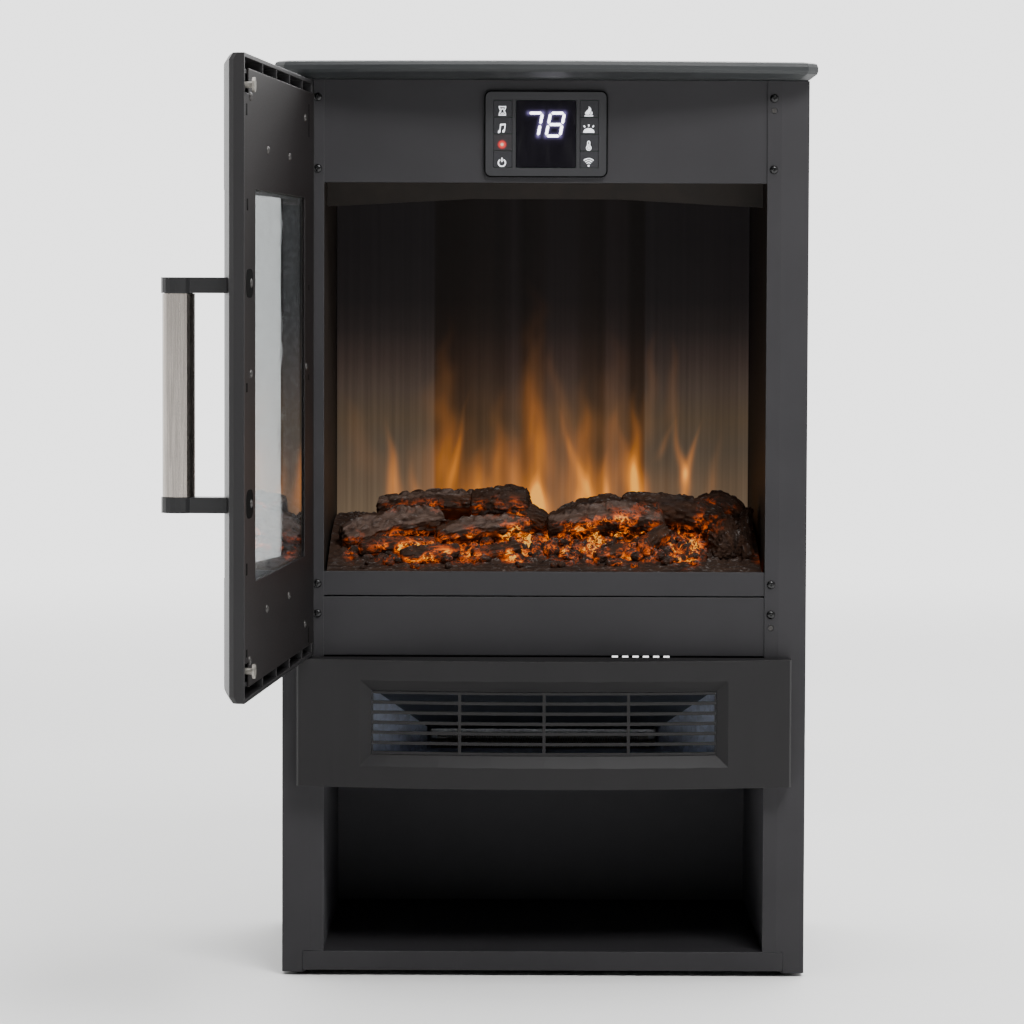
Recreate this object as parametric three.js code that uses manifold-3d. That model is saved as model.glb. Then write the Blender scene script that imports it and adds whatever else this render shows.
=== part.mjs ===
// Freestanding electric stove: a sheet-steel cabinet with a hinged glass door before an imitation log fire,
// a control panel above the fire, a bowed fan-heater fascia below it and an open niche at the bottom.
// Millimetres, +Z up. The front faces -Y, and the origin is the floor point under the cabinet's middle.
// The door is drawn shut and then turned open about its hinge.

import * as THREE from "three";
import { mergeVertices } from "three/addons/utils/BufferGeometryUtils.js";
import Module from "manifold-3d";

const wasm = await Module();
wasm.setup();

// ---------- Driving dimensions ----------

// Cabinet
const cabinetWidth = 452;
const cabinetDepth = 320;
const cabinetHeight = 788;
const gauge = 1.2; // steel sheet
const seat = 0.3; // gap left between pieces that rest on each other
const openingWidth = 380; // between the pilasters, for niche and firebox alike
const pilasterFlat = 12; // flat inner facet of each pilaster
const pilasterRake = 3; // how far the outer facet slopes back
const rearFlange = 20;
const screwInset = 5.5; // from the opening's edge to the pilaster screws and magnets
const topThickness = 14.5;
const topOverhang = 6; // past each side panel
const topNose = 3.5; // how far the top stands out past the ends of the door
const topCorner = 9;

// Feet and base
const footHeight = 3;
const footRadius = 6.5;
const footInset = 22; // from the front and the back
const footEdge = 14.5; // from the side panel's outer face
const footStemRadius = 2.2;
const baseClearance = 5;
const lipWidth = 415.4;
const lipHeight = 16.4;

// Niche
const nicheHeight = 146.1;
const nicheDepth = 300;

// Heater fascia
const fasciaWidth = 425;
const fasciaHeight = 109.9;
const standOff = 18.5; // how far the fascia and the door stand out at their ends
const bow = 26; // how much further they stand out in the middle
const plasticWall = 3;
const recessWidth = 316;
const recessHeight = 74;
const recessCentre = 55.5; // above the fascia's lower edge
const recessDepth = 8;
const grilleWidth = 293;
const grillePitch = 8.7;
const grilleRows = 6;
const grilleColumnPitch = 72.2;
const grilleBar = 2.6;
const grilleDepth = 4;

// Panels between the heater and the fire
const panelGap = 1.3;
const lowerPanelHeight = 50.6;
const railHeight = 20.4;
const panelReturn = 12;
const panelTab = 9.5; // how far a front panel reaches behind each pilaster
const fireDeckDrop = 13.8; // below the rail's upper edge

// Control panel
const controlHeight = 87.6;
const podWidth = 106;
const podHeight = 74.3;
const podCorner = 6;
const podCentre = 41.45; // above the control fascia's lower edge
const podProud = 2.5;
const podFace = 2.2;
const podSkirt = 2;
const podDepth = 13;
const displayWidth = 51.2;
const displayHeight = 57.6;
const keyWidth = 15.4;
const keyCell = 14.4;
const keyGap = 0.5;
const keyOffset = 37; // from the pod's middle to each column of keys
const keyLip = 1.3; // how far a key's rim reaches behind the pod's face
const keyTravel = 0.7;
const boardThickness = 1.6;

// Firebox
const screenDepth = 254; // from the cabinet's front plane to the flame screen
const screenThickness = 3;
const ceilingRise = 14.4; // above the control fascia's lower edge
const hoodDepth = 60;
const hoodDropMiddle = 11.9;
const hoodDropEnds = 19.7;
const emberWall = 3;
const emberMound = 37; // how far the bed rises above the rail
const emberHollow = 5;
const coalPitch = 9;
const coalHeight = 5;
const logRadius = 16;
const rotorRadius = 18;
const rotorShaftRadius = 3;
const rotorHeight = 62; // above the fire deck
const rotorVanes = 9;
const rotorMotorRadius = 15;

// Fan heater
const slotWidth = 205;
const slotHeight = 19.6;
const slotLift = 21.4; // above the heater deck
const ductFlare = 2; // by which the duct is larger than the grille
const ductRear = 70; // behind the cabinet's front plane
const wheelRadius = 24;
const wheelBlades = 11;
const wheelBack = 44; // from the duct's rear end to the wheel's axis
const wheelLift = 46; // above the heater deck
const shaftRadius = 3;
const coilTeeth = 11;

// Door
const doorGap = 7.2; // between the shut door's back and the cabinet's front
const hingeGap = 2.3; // above and below the door
const doorBevelHeight = 5;
const doorBevelDepth = 3;
const doorOpening = THREE.MathUtils.degToRad(94.3);
const pivotInset = 7.5; // from the door's hinge end
const pivotBack = 6.1; // from the door's back
const pinRadius = 2;
const pinLength = 9;
const hingeTab = 1.6;
const hingeClearance = 0.5; // between a tab and the door
const hingeEar = 5;
const plateMargin = 10.8;
const plateGauge = 1.2;
const plateNotchWidth = 20;
const plateNotchHeight = 19;
const windowWidth = 303;
const windowHeight = 302.3;
const windowDrop = 6; // below the door's middle
const glassLap = 10;
const glassThickness = 4;
const ribStart = 78;
const ribPitch = 81;
const ribCount = 4;
const ribWall = 2;
const strikeInset = 17; // from the door's free end
const strikeRadius = 5.75;
const strikeThickness = 2;
const strikeGap = 0.5; // from the magnet
const postRadius = 2.5;
const postDepth = 8;
const strikeRise = 23.5; // from the door's upper and lower ends
const magnetRadius = 2.25;
const magnetDepth = 9;
const magnetProud = 0.6;

// Handle
const handleRadius = 12.5;
const handleWall = 1.2;
const handleLength = 155.3;
const handleReach = 36.5; // from the door's face to the tube's axis
const handleInset = 28; // from the door's free end
const handleDrop = 12.7; // below the door's middle
const bracketThickness = 12;
const bracketArm = 18;
const bracketRim = 1;
const spigotLength = 6;

// Rear
const ventRows = 6;
const ventColumns = 3;
const ventLength = 50;
const ventHeight = 4;
const ventPitch = 10;
const ventLift = 8; // above the heater bay's floor
const motorVents = 6; // short slots level with the blower's motor
const motorVentWidth = 5.6;
const motorVentHeight = 3;
const motorVentPitch = 9.7;
const motorVentLift = 80.3; // above the heater bay's floor
const motorVentX = 69.4;
const inletRadius = 9;
const inletBore = 4;

// ---------- Derived places ----------

const halfWidth = cabinetWidth / 2;
const halfOpening = openingWidth / 2;
const frontY = -cabinetDepth / 2;
const backY = cabinetDepth / 2;
const panelY = frontY + gauge + seat; // front sheets lie behind the pilasters
const linerY = panelY + gauge + seat;
const rearFlangeY = backY - gauge - seat;
const deckFrontY = frontY + pilasterRake + gauge + seat;
const deckBackY = rearFlangeY - gauge - seat;
const deckHalf = halfWidth - gauge - seat;
const linerHalf = halfOpening + seat;
const tabHalf = halfOpening + panelTab;

const nicheFloorZ = baseClearance + lipHeight;
const heaterDeckZ = nicheFloorZ + nicheHeight;
const bayFloorZ = heaterDeckZ + gauge;
const fasciaTopZ = heaterDeckZ + fasciaHeight;
const lowerPanelZ = fasciaTopZ + panelGap;
const railZ = lowerPanelZ + lowerPanelHeight + panelGap;
const railTopZ = railZ + railHeight;
const fireDeckZ = railTopZ - fireDeckDrop;
const topUnderZ = cabinetHeight - topThickness;
const panelTopZ = topUnderZ - seat;
const controlZ = panelTopZ - controlHeight;
const ceilingZ = controlZ + ceilingRise;

const doorHalf = fasciaWidth / 2;
const doorBackY = frontY - doorGap;
const bowEndY = frontY - standOff;
const doorLowZ = fasciaTopZ + hingeGap;
const doorHighZ = topUnderZ - hingeGap;
const doorMiddleZ = (doorLowZ + doorHighZ) / 2;
const pivotX = -doorHalf + pivotInset;
const pivotY = doorBackY - pivotBack;
const strikeX = doorHalf - strikeInset;

// ---------- Shaping functions ----------

const roundSides = 18;
const bowSteps = 14;
const weld = 1e-3;
const axisX = new THREE.Vector3(1, 0, 0);
const axisY = new THREE.Vector3(0, 1, 0);
const axisZ = new THREE.Vector3(0, 0, 1);

/** The solid of a closed geometry. */
function solidOf(geometry) {
  const bare = geometry.index ? geometry.toNonIndexed() : geometry.clone();
  bare.deleteAttribute("normal");
  bare.deleteAttribute("uv");
  const merged = mergeVertices(bare, weld);
  const mesh = new wasm.Mesh({
    numProp: 3,
    vertProperties: merged.attributes.position.array,
    triVerts: new Uint32Array(merged.index.array),
  });
  return new wasm.Manifold(mesh);
}

/** The geometry of a solid. */
function geometryOf(solid) {
  const { vertProperties, triVerts } = solid.getMesh();
  const geometry = new THREE.BufferGeometry();
  geometry.setAttribute("position", new THREE.BufferAttribute(new Float32Array(vertProperties), 3));
  geometry.setIndex(new THREE.BufferAttribute(new Uint32Array(triVerts), 1));
  return geometry;
}

/** One geometry of all the given ones together. */
function join(...pieces) {
  return geometryOf(pieces.map(solidOf).reduce((whole, piece) => whole.add(piece)));
}

/** The body without what the tools take away. */
function cut(body, ...tools) {
  return geometryOf(tools.map(solidOf).reduce((rest, tool) => rest.subtract(tool), solidOf(body)));
}

/** What two geometries share. */
function common(first, second) {
  return geometryOf(solidOf(first).intersect(solidOf(second)));
}

/** A rectangular block between two limits along each axis. */
function block(x, y, z) {
  const spans = [x, y, z];
  const size = spans.map(([a, b]) => Math.abs(b - a));
  const middle = spans.map(([a, b]) => (a + b) / 2);
  return new THREE.BoxGeometry(...size).translate(...middle);
}

/** A round bar along an axis between two limits, through the point on the other two axes. */
function bar(axis, radius, [start, end], [first, second], sides = roundSides) {
  const round = new THREE.CylinderGeometry(radius, radius, end - start, sides);
  const middle = (start + end) / 2;
  if (axis === "x") return round.rotateZ(-Math.PI / 2).translate(middle, first, second);
  if (axis === "y") return round.translate(first, middle, second);
  return round.rotateX(Math.PI / 2).translate(first, second, middle);
}

/** A shape drawn in X and Y, extruded between two heights. */
function extrudeUp(shape, low, high) {
  const options = { depth: high - low, bevelEnabled: false, curveSegments: 8 };
  return new THREE.ExtrudeGeometry(shape, options).translate(0, 0, low);
}

/** A shape drawn in X and Z, extruded between two depths. */
function extrudeBack(shape, front, back, curveSegments = 3) {
  const turn = new THREE.Matrix4().makeBasis(axisX, axisZ, axisY.clone().negate());
  const options = { depth: back - front, bevelEnabled: false, curveSegments };
  return new THREE.ExtrudeGeometry(shape, options).applyMatrix4(turn).translate(0, back, 0);
}

/** A shape drawn in Y and Z, extruded between two places along X. */
function extrudeAcross(shape, left, right) {
  const turn = new THREE.Matrix4().makeBasis(axisY, axisZ, axisX);
  const options = { depth: right - left, bevelEnabled: false, curveSegments: 8 };
  return new THREE.ExtrudeGeometry(shape, options).applyMatrix4(turn).translate(left, 0, 0);
}

/** The outline of a folded sheet: one face runs through the points, the other lies a gauge to its left. */
function foldedSheet(points, thickness) {
  const face = points.map(([x, y]) => new THREE.Vector2(x, y));
  const other = face.map((point, i) => {
    const before = face[Math.max(i - 1, 0)];
    const after = face[Math.min(i + 1, face.length - 1)];
    const arriving = (i ? point.clone().sub(before) : after.clone().sub(point)).normalize();
    const leaving = (after === point ? point.clone().sub(before) : after.clone().sub(point)).normalize();
    const mitre = new THREE.Vector2(-arriving.y - leaving.y, arriving.x + leaving.x);
    return point.clone().addScaledVector(mitre, (2 * thickness) / mitre.lengthSq());
  });
  return new THREE.Shape([...face, ...other.reverse()]);
}

/** A rectangle with round corners about a middle. */
function roundedRectangle(width, height, radius, middleX = 0, middleY = 0) {
  const [left, right] = [middleX - width / 2, middleX + width / 2];
  const [low, high] = [middleY - height / 2, middleY + height / 2];
  const shape = new THREE.Shape();
  shape.moveTo(left + radius, low);
  shape.lineTo(right - radius, low);
  shape.absarc(right - radius, low + radius, radius, -Math.PI / 2, 0, false);
  shape.lineTo(right, high - radius);
  shape.absarc(right - radius, high - radius, radius, 0, Math.PI / 2, false);
  shape.lineTo(left + radius, high);
  shape.absarc(left + radius, high - radius, radius, Math.PI / 2, Math.PI, false);
  shape.lineTo(left, low + radius);
  shape.absarc(left + radius, low + radius, radius, Math.PI, 1.5 * Math.PI, false);
  return shape;
}

/** A rectangle between limits. */
function rectangle([left, right], [low, high]) {
  return new THREE.Shape([
    new THREE.Vector2(left, low),
    new THREE.Vector2(right, low),
    new THREE.Vector2(right, high),
    new THREE.Vector2(left, high),
  ]);
}

/** A closed solid through rings of equally many points, each ring turning left about the way forward. */
function loft(rings) {
  const count = rings[0].length;
  const middles = [rings[0], rings[rings.length - 1]].map((ring) =>
    ring.reduce((sum, point) => sum.add(point), new THREE.Vector3()).divideScalar(count),
  );
  const points = [...rings.flat(), ...middles];
  const index = [];
  for (let ring = 0; ring < rings.length - 1; ring++) {
    for (let i = 0; i < count; i++) {
      const a = ring * count + i;
      const b = ring * count + ((i + 1) % count);
      index.push(a, b, b + count, a, b + count, a + count);
    }
  }
  const last = (rings.length - 1) * count;
  for (let i = 0; i < count; i++) {
    const next = (i + 1) % count;
    index.push(points.length - 2, next, i);
    index.push(points.length - 1, last + i, last + next);
  }
  const geometry = new THREE.BufferGeometry().setFromPoints(points);
  geometry.setIndex(index);
  return geometry;
}

/** A turned piece about Z from a closed outline of [radius, height] points that runs anticlockwise. */
function turned(outline, sides = roundSides) {
  const points = outline.map(([radius, height]) => new THREE.Vector2(radius, height));
  return new THREE.LatheGeometry(points, sides).rotateX(Math.PI / 2);
}

/** How far an arc over a chord stands forward of the chord's ends at a place along it. */
function bowAt(x, halfChord, sagitta) {
  const radius = (halfChord ** 2 + sagitta ** 2) / (2 * sagitta);
  return Math.sqrt(radius ** 2 - x ** 2) - (radius - sagitta);
}

/** The depth of the bowed front that the door and the heater fascia share. */
function bowedFace(x) {
  return bowEndY - bowAt(x, doorHalf, bow);
}

/** A plan with a straight back, straight sides and a bowed front, anticlockwise from above. */
function bowedPlan(half, back, endY, sagitta, corner) {
  const points = [
    [half, back],
    [-half, back],
    [-half, endY + corner],
  ];
  const reach = half - corner;
  for (let i = 0; i <= bowSteps; i++) {
    const x = reach * ((2 * i) / bowSteps - 1);
    points.push([x, endY - bowAt(x, half, sagitta)]);
  }
  points.push([half, endY + corner]);
  return points.map(([x, y]) => new THREE.Vector2(x, y));
}

/** A slab that follows the bowed front, between two depths behind it and two heights. */
function bowedSlab(half, near, far, low, high, flare = 0) {
  const rings = [];
  for (let i = 0; i <= bowSteps; i++) {
    const x = half * ((2 * i) / bowSteps - 1);
    const y = bowedFace(x);
    rings.push([
      new THREE.Vector3(x, y + near, low - flare),
      new THREE.Vector3(x, y + far, low),
      new THREE.Vector3(x, y + far, high),
      new THREE.Vector3(x, y + near, high + flare),
    ]);
  }
  return loft(rings);
}

/** The same geometry on the other side of the cabinet. */
function mirrored(geometry) {
  const copy = geometryOf(solidOf(geometry));
  const position = copy.attributes.position;
  for (let i = 0; i < position.count; i++) position.setX(i, -position.getX(i));
  const index = copy.index.array;
  for (let i = 0; i < index.length; i += 3) [index[i + 1], index[i + 2]] = [index[i + 2], index[i + 1]];
  return copy;
}

// ---------- Finishes and assembly ----------

/** A finish from its colour, roughness and metalness. */
function finish(color, roughness, metalness = 0) {
  return new THREE.MeshStandardMaterial({ color, roughness, metalness });
}

const finishes = {
  coatedSteel: finish("#3a3b3c", 0.55, 0.3),
  innerSteel: finish("#141415", 0.8, 0.2),
  bareSteel: finish("#9aa2ab", 0.35, 0.9),
  brushedSteel: finish("#b8b4ae", 0.3, 1),
  blackPlastic: finish("#2d2d2e", 0.6),
  glossPlastic: finish("#17151a", 0.15),
  rubber: finish("#101010", 0.9),
  glass: finish("#8d9196", 0.05),
  screen: finish("#5a5145", 0.7),
  ember: finish("#2a1a14", 0.9),
  bark: finish("#2a2422", 0.95),
  circuit: finish("#1f4a2c", 0.6),
  redLens: finish("#d01818", 0.3),
  copper: finish("#8a5a3a", 0.4, 0.8),
};

const stove = new THREE.Group();
const door = new THREE.Group();
door.position.set(pivotX, pivotY, 0);
door.rotation.z = -doorOpening;
stove.add(door);

/** Adds a named piece to the cabinet. */
function place(name, geometry, material) {
  const mesh = new THREE.Mesh(geometry, material);
  mesh.name = name;
  stove.add(mesh);
}

/** Adds a named piece, drawn on the shut door, to the door. */
function hang(name, geometry, material) {
  const mesh = new THREE.Mesh(geometry.clone().translate(-pivotX, -pivotY, 0), material);
  mesh.name = name;
  door.add(mesh);
}

// ---------- Top plate ----------

/** The thick top: a bowed front edge with a rounded nose over a chamfer. */
function topPlate() {
  const half = halfWidth + topOverhang;
  const noseY = bowEndY - topNose;
  const edge = [[0, 0.48], [0.31, 0.07], [0.48, 0], [0.72, 0], [0.92, 0.08], [1, 0.25]]; // rise and inset
  const rings = edge.map(([rise, share]) => {
    const inset = share * topThickness;
    return bowedPlan(half - inset, backY, noseY + inset, bow - inset, topCorner).map(
      (point) => new THREE.Vector3(point.x, point.y, topUnderZ + rise * topThickness),
    );
  });
  return loft(rings);
}
place("top_plate", topPlate(), finishes.coatedSteel);

// ---------- Side panels ----------

const screwX = halfOpening + screwInset;
const strikeHeights = [doorLowZ + strikeRise, doorHighZ - strikeRise];
const hingeTabs = [
  { low: doorLowZ - hingeClearance - hingeTab, toward: 1 },
  { low: doorHighZ + hingeClearance, toward: -1 },
];
const footPlaces = [frontY + footInset, backY - footInset];
const footX = halfWidth - footEdge;

/** A side of the cabinet, folded in at front, back, top and bottom, with holes for what it carries. */
function sidePanel() {
  const plan = [
    [halfOpening, frontY],
    [halfOpening + pilasterFlat, frontY],
    [halfWidth, frontY + pilasterRake],
    [halfWidth, rearFlangeY],
    [halfWidth - rearFlange, rearFlangeY],
  ];
  const wall = extrudeUp(foldedSheet(plan, gauge), footHeight, panelTopZ);
  const inward = [halfWidth - rearFlange, halfWidth - gauge / 2];
  const along = [frontY + pilasterRake + gauge, rearFlangeY - gauge / 2];
  const bottom = block(inward, along, [footHeight, footHeight + gauge]);
  const top = block(inward, along, [panelTopZ - gauge, panelTopZ]);
  const lipNotch = block(
    [halfOpening - seat, lipWidth / 2 + seat],
    [frontY - seat, deckFrontY],
    [0, nicheFloorZ + seat],
  );
  const stems = footPlaces.map((y) => bar("z", footStemRadius + seat, [0, footHeight + 2 * gauge], [footX, y]));
  return cut(join(wall, bottom, top), lipNotch, ...stems);
}

/** The plan of a hinge tab: an ear about the pivot, and a tail through the pilaster. */
function hingeTabPlan(grow) {
  const radius = hingeEar + grow;
  const shape = new THREE.Shape();
  shape.moveTo(pivotX + radius, linerY + hingeTab + grow);
  shape.lineTo(pivotX - radius, linerY + hingeTab + grow);
  shape.lineTo(pivotX - radius, pivotY);
  shape.absarc(pivotX, pivotY, radius, Math.PI, 2 * Math.PI, false);
  return shape;
}

const rightPanel = cut(sidePanel(), ...strikeHeights.map(magnetHole));
const leftPanel = cut(
  mirrored(sidePanel()),
  ...hingeTabs.map(({ low }) => extrudeUp(hingeTabPlan(seat), low - seat, low + hingeTab + seat)),
);
place("side_panel_left", leftPanel, finishes.coatedSteel);
place("side_panel_right", rightPanel, finishes.coatedSteel);

// ---------- Feet ----------

/** A rubber foot with a stem that snaps through the panel's lower fold. */
function foot() {
  const top = footHeight - seat;
  return turned([
    [0, 0],
    [footRadius - 1, 0],
    [footRadius, 1],
    [footRadius, top],
    [footStemRadius, top],
    [footStemRadius, top + gauge + 1],
    [0, top + gauge + 1],
  ], 10);
}
for (const [side, x] of [["left", -footX], ["right", footX]]) {
  for (const [end, y] of [["front", footPlaces[0]], ["rear", footPlaces[1]]]) {
    place(`foot_${end}_${side}`, foot().translate(x, y, 0), finishes.rubber);
  }
}

// ---------- Base and niche ----------

const panHalf = halfOpening - 1;
const panPath = [
  [-panHalf, nicheFloorZ - gauge - seat],
  [-panHalf, baseClearance],
  [panHalf, baseClearance],
  [panHalf, nicheFloorZ - gauge - seat],
];
place("base_pan", extrudeBack(foldedSheet(panPath, gauge), panelY, deckBackY), finishes.coatedSteel);

/** A flat deck between the side panels. */
function deck(low) {
  return block([-deckHalf, deckHalf], [deckFrontY, deckBackY], [low, low + gauge]);
}
const floorSheet = deck(nicheFloorZ - gauge);
const lip = block([-lipWidth / 2, lipWidth / 2], [frontY, frontY + gauge], [baseClearance, nicheFloorZ]);
const lipShelf = block(
  [-lipWidth / 2, lipWidth / 2],
  [frontY, deckFrontY + gauge],
  [nicheFloorZ - gauge, nicheFloorZ],
);
place("niche_floor", join(floorSheet, lip, lipShelf), finishes.coatedSteel);

const nicheBackY = frontY + nicheDepth;
const nichePath = [
  [linerHalf, linerY],
  [linerHalf, nicheBackY],
  [-linerHalf, nicheBackY],
  [-linerHalf, linerY],
];
const nicheSpan = [nicheFloorZ + seat, heaterDeckZ - seat];
place("niche_liner", extrudeUp(foldedSheet(nichePath, -gauge), ...nicheSpan), finishes.innerSteel);
place("heater_deck", deck(heaterDeckZ), finishes.innerSteel);

// ---------- Heater fascia and grille ----------

const recessMiddleZ = heaterDeckZ + recessCentre;
const grilleHeight = grillePitch * grilleRows + grilleBar;
const grilleSpan = [recessMiddleZ - grilleHeight / 2, recessMiddleZ + grilleHeight / 2];

/** The bowed fascia: an open-backed shell with a picture-frame recess whose bevels follow the bow. */
function heaterFascia() {
  const top = fasciaTopZ;
  const plan = bowedPlan(doorHalf, frontY - seat, bowEndY, bow, 1.5);
  const hollow = bowedPlan(doorHalf - plasticWall, frontY + 1, bowEndY + plasticWall, bow, 1.5);
  const shell = cut(
    extrudeUp(new THREE.Shape(plan), heaterDeckZ, top),
    extrudeUp(new THREE.Shape(hollow), heaterDeckZ + plasticWall, top - plasticWall),
  );
  const tubHalf = recessWidth / 2 + plasticWall;
  const tubRise = recessHeight / 2 + plasticWall;
  const tubFar = recessDepth + grilleDepth;
  const tub = bowedSlab(tubHalf, 1, tubFar, recessMiddleZ - tubRise, recessMiddleZ + tubRise);

  const lead = 4; // the cutters start this far in front of the face
  const innerHalf = grilleWidth / 2 + grilleBar / 2;
  const riseSlope = (recessHeight - grilleHeight) / 2 / recessDepth;
  const bevels = bowedSlab(recessWidth, -lead, recessDepth, ...grilleSpan, riseSlope * (recessDepth + lead));
  const sideFar = bowedFace(innerHalf) + recessDepth;
  const sideSlope = (recessWidth / 2 - innerHalf) / (sideFar - bowedFace(recessWidth / 2));
  const reach = bow + lead;
  const sides = new THREE.Shape([
    new THREE.Vector2(-innerHalf - sideSlope * (recessDepth + reach), sideFar - recessDepth - reach),
    new THREE.Vector2(innerHalf + sideSlope * (recessDepth + reach), sideFar - recessDepth - reach),
    new THREE.Vector2(innerHalf, sideFar),
    new THREE.Vector2(-innerHalf, sideFar),
  ]);
  const recess = common(bevels, extrudeUp(sides, heaterDeckZ, top));
  const opening = bowedSlab(innerHalf, recessDepth - 1, tubFar + 1, ...grilleSpan);
  return cut(join(shell, tub), recess, opening);
}
place("heater_fascia", heaterFascia(), finishes.blackPlastic);

/** The outlet grille: bars and posts in a rim, bent to the bow. */
function outletGrille() {
  const rim = grilleBar / 2 - seat;
  const half = grilleWidth / 2;
  const deep = [bowEndY - bow, frontY];
  const sheet = block([-half - rim, half + rim], deep, [grilleSpan[0] + seat, grilleSpan[1] - seat]);
  const posts = [-half - grilleBar / 2, -grilleColumnPitch, 0, grilleColumnPitch, half + grilleBar / 2];
  const gaps = [];
  for (let row = 0; row < grilleRows; row++) {
    const low = grilleSpan[0] + grilleBar + row * grillePitch;
    for (let column = 0; column < posts.length - 1; column++) {
      const across = [posts[column] + grilleBar / 2, posts[column + 1] - grilleBar / 2];
      gaps.push(block(across, deep, [low, low + grillePitch - grilleBar]));
    }
  }
  const slab = bowedSlab(half + grilleBar, recessDepth, recessDepth + grilleDepth, ...grilleSpan);
  return common(cut(sheet, ...gaps), slab);
}
place("outlet_grille", outletGrille(), finishes.blackPlastic);

// ---------- Fan heater ----------

const ductRearY = frontY + ductRear;
const ductFrontY = bowedFace(recessWidth / 2) + recessDepth + grilleDepth + 1;
const slotSpan = [bayFloorZ + slotLift, bayFloorZ + slotLift + slotHeight];

/** A rectangular ring across the way back. */
function frontRing(y, half, [low, high]) {
  return [
    new THREE.Vector3(-half, y, low),
    new THREE.Vector3(-half, y, high),
    new THREE.Vector3(half, y, high),
    new THREE.Vector3(half, y, low),
  ];
}

/** The funnel that spreads the warm air from the blower's slot to the grille. */
function outletDuct() {
  const mouthHalf = grilleWidth / 2 + ductFlare;
  const mouth = [slotSpan[0], grilleSpan[1] + ductFlare];
  const grown = ([low, high]) => [low - gauge, high + gauge];
  const outer = loft([
    frontRing(ductFrontY, mouthHalf + gauge, grown(mouth)),
    frontRing(ductRearY, slotWidth / 2 + gauge, grown(slotSpan)),
  ]);
  const lead = 0.001;
  const inner = loft([
    frontRing(ductFrontY - lead, mouthHalf, mouth),
    frontRing(ductRearY + lead, slotWidth / 2, slotSpan),
  ]);
  return cut(outer, inner);
}
place("outlet_duct", outletDuct(), finishes.bareSteel);

const wheelY = ductRearY + wheelBack;
const wheelZ = bayFloorZ + wheelLift;
const cheek = 2; // side plates of the blower
const bladeHalf = slotWidth / 2 - 2;
const blowerFrontY = ductRearY + seat;

/** The blower's scroll, open above towards the back, between two side plates that stand on the deck. */
function blowerHousing() {
  const clearance = 4;
  const floor = slotSpan[0] - gauge;
  const scroll = [[blowerFrontY, floor]];
  const turns = 9;
  for (let i = 0; i <= turns; i++) {
    const angle = THREE.MathUtils.degToRad(-90 + (190 * i) / turns);
    const radius = wheelRadius + clearance + (4 * i) / turns;
    scroll.push([wheelY + radius * Math.cos(angle), Math.max(wheelZ + radius * Math.sin(angle), floor)]);
  }
  const tongue = [
    [blowerFrontY, slotSpan[1]],
    [wheelY - wheelRadius - clearance, slotSpan[1] + 4],
    [wheelY - wheelRadius - clearance, wheelZ + wheelRadius],
  ];
  const reach = [-slotWidth / 2 - seat, slotWidth / 2 + seat];
  const sheets = [
    extrudeAcross(foldedSheet(scroll, -gauge), ...reach),
    extrudeAcross(foldedSheet(tongue, gauge), ...reach),
  ];
  const side = new THREE.Shape([
    new THREE.Vector2(blowerFrontY, bayFloorZ + seat),
    new THREE.Vector2(wheelY + wheelRadius + 12, bayFloorZ + seat),
    new THREE.Vector2(wheelY + wheelRadius + 12, wheelZ + wheelRadius),
    new THREE.Vector2(wheelY + wheelRadius, wheelZ + wheelRadius + 12),
    new THREE.Vector2(blowerFrontY + 6, wheelZ + wheelRadius + 12),
    new THREE.Vector2(blowerFrontY, slotSpan[1] + 4),
  ]);
  const plates = [
    extrudeAcross(side, slotWidth / 2, slotWidth / 2 + cheek),
    extrudeAcross(side, -slotWidth / 2 - cheek, -slotWidth / 2),
  ];
  const shaftHole = bar("x", shaftRadius + seat, [-slotWidth, slotWidth], [wheelY, wheelZ]);
  return cut(join(...sheets, ...plates), shaftHole);
}
place("blower_housing", blowerHousing(), finishes.bareSteel);

/** The blower's wheel: forward-curved blades between three discs on a shaft. */
function blowerWheel() {
  const discs = [-bladeHalf, 0, bladeHalf - 1.5].map((x) =>
    bar("x", wheelRadius, [x, x + 1.5], [0, 0], wheelBlades),
  );
  const bladeChord = 8;
  const blade = block([-bladeHalf, bladeHalf], [-bladeChord / 2, bladeChord / 2], [-0.5, 0.5]);
  const blades = [];
  for (let i = 0; i < wheelBlades; i++) {
    const turn = (2 * Math.PI * i) / wheelBlades;
    const tilted = blade.clone().rotateX(0.6).translate(0, wheelRadius - bladeChord / 2 - 0.6, 0);
    blades.push(tilted.rotateX(turn));
  }
  const shaft = bar("x", shaftRadius, [-slotWidth / 2 - cheek - 3, slotWidth / 2 + cheek + 8], [0, 0]);
  return join(...discs, ...blades, shaft).translate(0, wheelY, wheelZ);
}
place("blower_wheel", blowerWheel(), finishes.bareSteel);

/** The blower's motor on the right side plate: laminations, a coil and a bearing cup. */
function blowerMotor() {
  const start = slotWidth / 2 + cheek + seat;
  const stack = block([start + 6, start + 24], [wheelY - 26, wheelY + 26], [wheelZ - 34, wheelZ + 18]);
  const coil = block([start + 1, start + 30], [wheelY - 14, wheelY + 14], [wheelZ - 40, wheelZ - 24]);
  const cup = bar("x", 11, [start, start + 32], [wheelY, wheelZ]);
  const foot = block([start + 6, start + 24], [wheelY - 10, wheelY + 10], [bayFloorZ + seat, wheelZ - 30]);
  const bore = bar("x", shaftRadius + seat, [start - 1, start + 12], [wheelY, wheelZ]);
  return cut(join(stack, coil, cup, foot), bore);
}
place("blower_motor", blowerMotor(), finishes.copper);

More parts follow.
